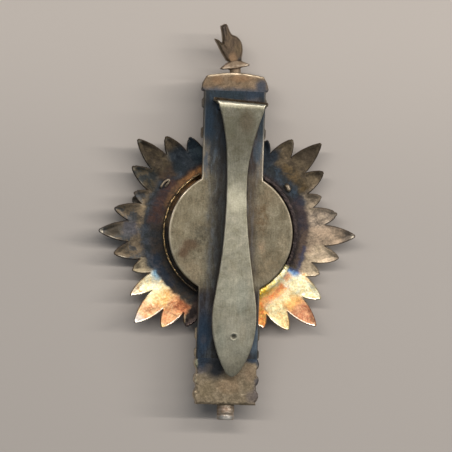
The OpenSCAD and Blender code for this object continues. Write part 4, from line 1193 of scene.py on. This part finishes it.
# The hand is its outline filled from a point in the palm. Both faces swell like a cushion, half an ellipse
# over the distance from the rim, and stay full at the wrist. The back has a finger gap and faint creases, the
# front curled fingers.
def makeHand(c):
    outline = roundCurve(c["outline"], c["steps"])
    outline[:, 1] = np.clip(outline[:, 1], handLow[1], handHigh[1])
    palm = np.array(c["rest"])
    share = 1 - np.linspace(1, 0, c["rows"]) ** 1.4
    rows = palm + (outline - palm)[None] * share[:, None, None]
    x, y = rows[..., 0], rows[..., 1]
    gap = outlineDistance(x, y, outline[:1 - c["steps"]], False)
    swell = np.sqrt(1 - (1 - np.clip(gap / c["edge"], 0, 1)) ** 2)
    middle, half = (handLow[2] + handHigh[2]) / 2, (handHigh[2] - handLow[2]) / 2
    cut = groove(x, y, *c["fingerGap"])
    lines = sum(groove(x, y, *row) for row in c["creases"])
    back = middle + half * swell - (cut + lines) * swell
    front = middle - half * 0.62 * swell + cut * swell
    for fx, fy, fr, height in c["curled"]:
        front -= half * 0.4 * height * np.exp(-(((x - fx) / fr) ** 2 + ((y - fy) / (fr * 1.7)) ** 2)) * swell
    front = np.maximum(front, handLow[2])
    loops = np.concatenate([np.stack([x, y, back], -1), np.stack([x, y, front], -1)[::-1]])
    # Pale rim round the back: rubbed, and painted lighter to lift the shade on its steep edge.
    wearAndPaintedLight = np.concatenate([np.exp(-(gap / 0.22) ** 2), np.zeros_like(gap)])
    storePiece("handPiece", [loft(loops, False, False, wearAndPaintedLight=wearAndPaintedLight)], finishes["hand"], "hand", 70)


makeHand(handSizes)

# Floor, lights and camera. The camera stands where the photograph was taken from: a little to the left
# of straight above, turned so that the badge leans.
stageSizes = {"floorHalf": 1.5, "floorTint": (196, 187, 179), "lowTint": (183, 175, 168), "fadeFrom": 46.0,
              "fadeTo": -2.0}
# Columns of a lamp: x, length, power. They stand on the side of the hand, above the badge.
lightSizes = {"lamps": {"barLamp": (0.05, 0.7, 1.86), "rightEnd": (0.65, 0.5, 2.6),
                        "leftEnd": (-0.5, 0.3, 0.15)},
              "lampY": 0.165, "lampZ": 0.45, "lampWidth": 0.025, "lampTint": (1.0, 0.96, 0.91),
              "room": (0.78, 0.89, 1.0, 1), "roomStrength": 0.2}
viewSizes = {"lens": 200.0, "sensor": 36.0, "width": 90.4, "pixels": 452, "discPixel": (230.8, 233.5),
             "lean": 1.8, "tilt": 4.0}


# A flat square whose colour darkens a little towards the badge's lower half, a painted falloff of the lamps.
def makeFloor(c):
    h = c["floorHalf"]
    mesh = bpy.data.meshes.new("floor")
    mesh.from_pydata([(-h, -h, 0), (h, -h, 0), (h, h, 0), (-h, h, 0)], [], [(0, 1, 2, 3)])
    paper, place = startMaterial("paleFloor", 0.0)
    soft = grain(place, 60.0, 3, 0.5)
    colour = shadeRow(soft, (0.3, *(v - 2 for v in c["floorTint"])), (0.7, *c["floorTint"]))
    colour = blend(between(axes(place)[1], c["fadeFrom"], c["fadeTo"]), colour, c["lowTint"])
    mesh.materials.append(finishMaterial(paper, colour, soft, 0.85, 0.95))
    floor = bpy.data.objects.new("floor", mesh)
    bpy.context.scene.collection.objects.link(floor)


# Narrow lamps along x, turned towards the badge only about their length as in a scanner, in a soft pale room.
def makeLights(c):
    for name, (x, length, power) in c["lamps"].items():
        data = bpy.data.lights.new(name, "AREA")
        data.shape = "RECTANGLE"
        data.size, data.size_y, data.energy, data.color = length, c["lampWidth"], power, c["lampTint"]
        lamp = bpy.data.objects.new(name, data)
        lamp.location = (x, c["lampY"], c["lampZ"])
        lamp.rotation_euler = Vector((0, -c["lampY"], -c["lampZ"])).to_track_quat("-Z", "Y").to_euler()
        bpy.context.scene.collection.objects.link(lamp)
    world = bpy.data.worlds.new("softRoom")
    world.use_nodes = True
    room = world.node_tree.nodes["Background"].inputs
    room["Color"].default_value, room["Strength"].default_value = c["room"], c["roomStrength"]
    bpy.context.scene.world = world


# The frame's middle lies a few pixels from the disc, so the camera aims at that point at the back's height.
def makeCamera(c):
    mmPerPixel = c["width"] / c["pixels"]
    lean, tilt = math.radians(c["lean"]), math.radians(c["tilt"])
    dx = (c["pixels"] / 2 - c["discPixel"][0]) * mmPerPixel
    dy = (c["discPixel"][1] - c["pixels"] / 2) * mmPerPixel
    aim = Vector(((dx * math.cos(lean) - dy * math.sin(lean)) / math.cos(tilt),
                  dx * math.sin(lean) + dy * math.cos(lean), backZ)) + Vector(discMiddle)
    back = Vector((-math.sin(tilt), 0, math.cos(tilt)))
    right = Vector((-math.sin(lean), math.cos(lean), 0)).cross(back).normalized()
    data = bpy.data.cameras.new("camera")
    data.lens = c["lens"]
    data.sensor_width = c["sensor"]
    camera = bpy.data.objects.new("camera", data)
    camera.location = (aim + back * c["width"] * c["lens"] / c["sensor"]) * metre
    camera.rotation_euler = Matrix((right, back.cross(right), back)).transposed().to_euler()
    bpy.context.scene.collection.objects.link(camera)
    bpy.context.scene.camera = camera


makeFloor(stageSizes)
makeLights(lightSizes)
makeCamera(viewSizes)
bpy.context.scene.view_settings.view_transform = "Standard"
print("floor, lights and camera set")
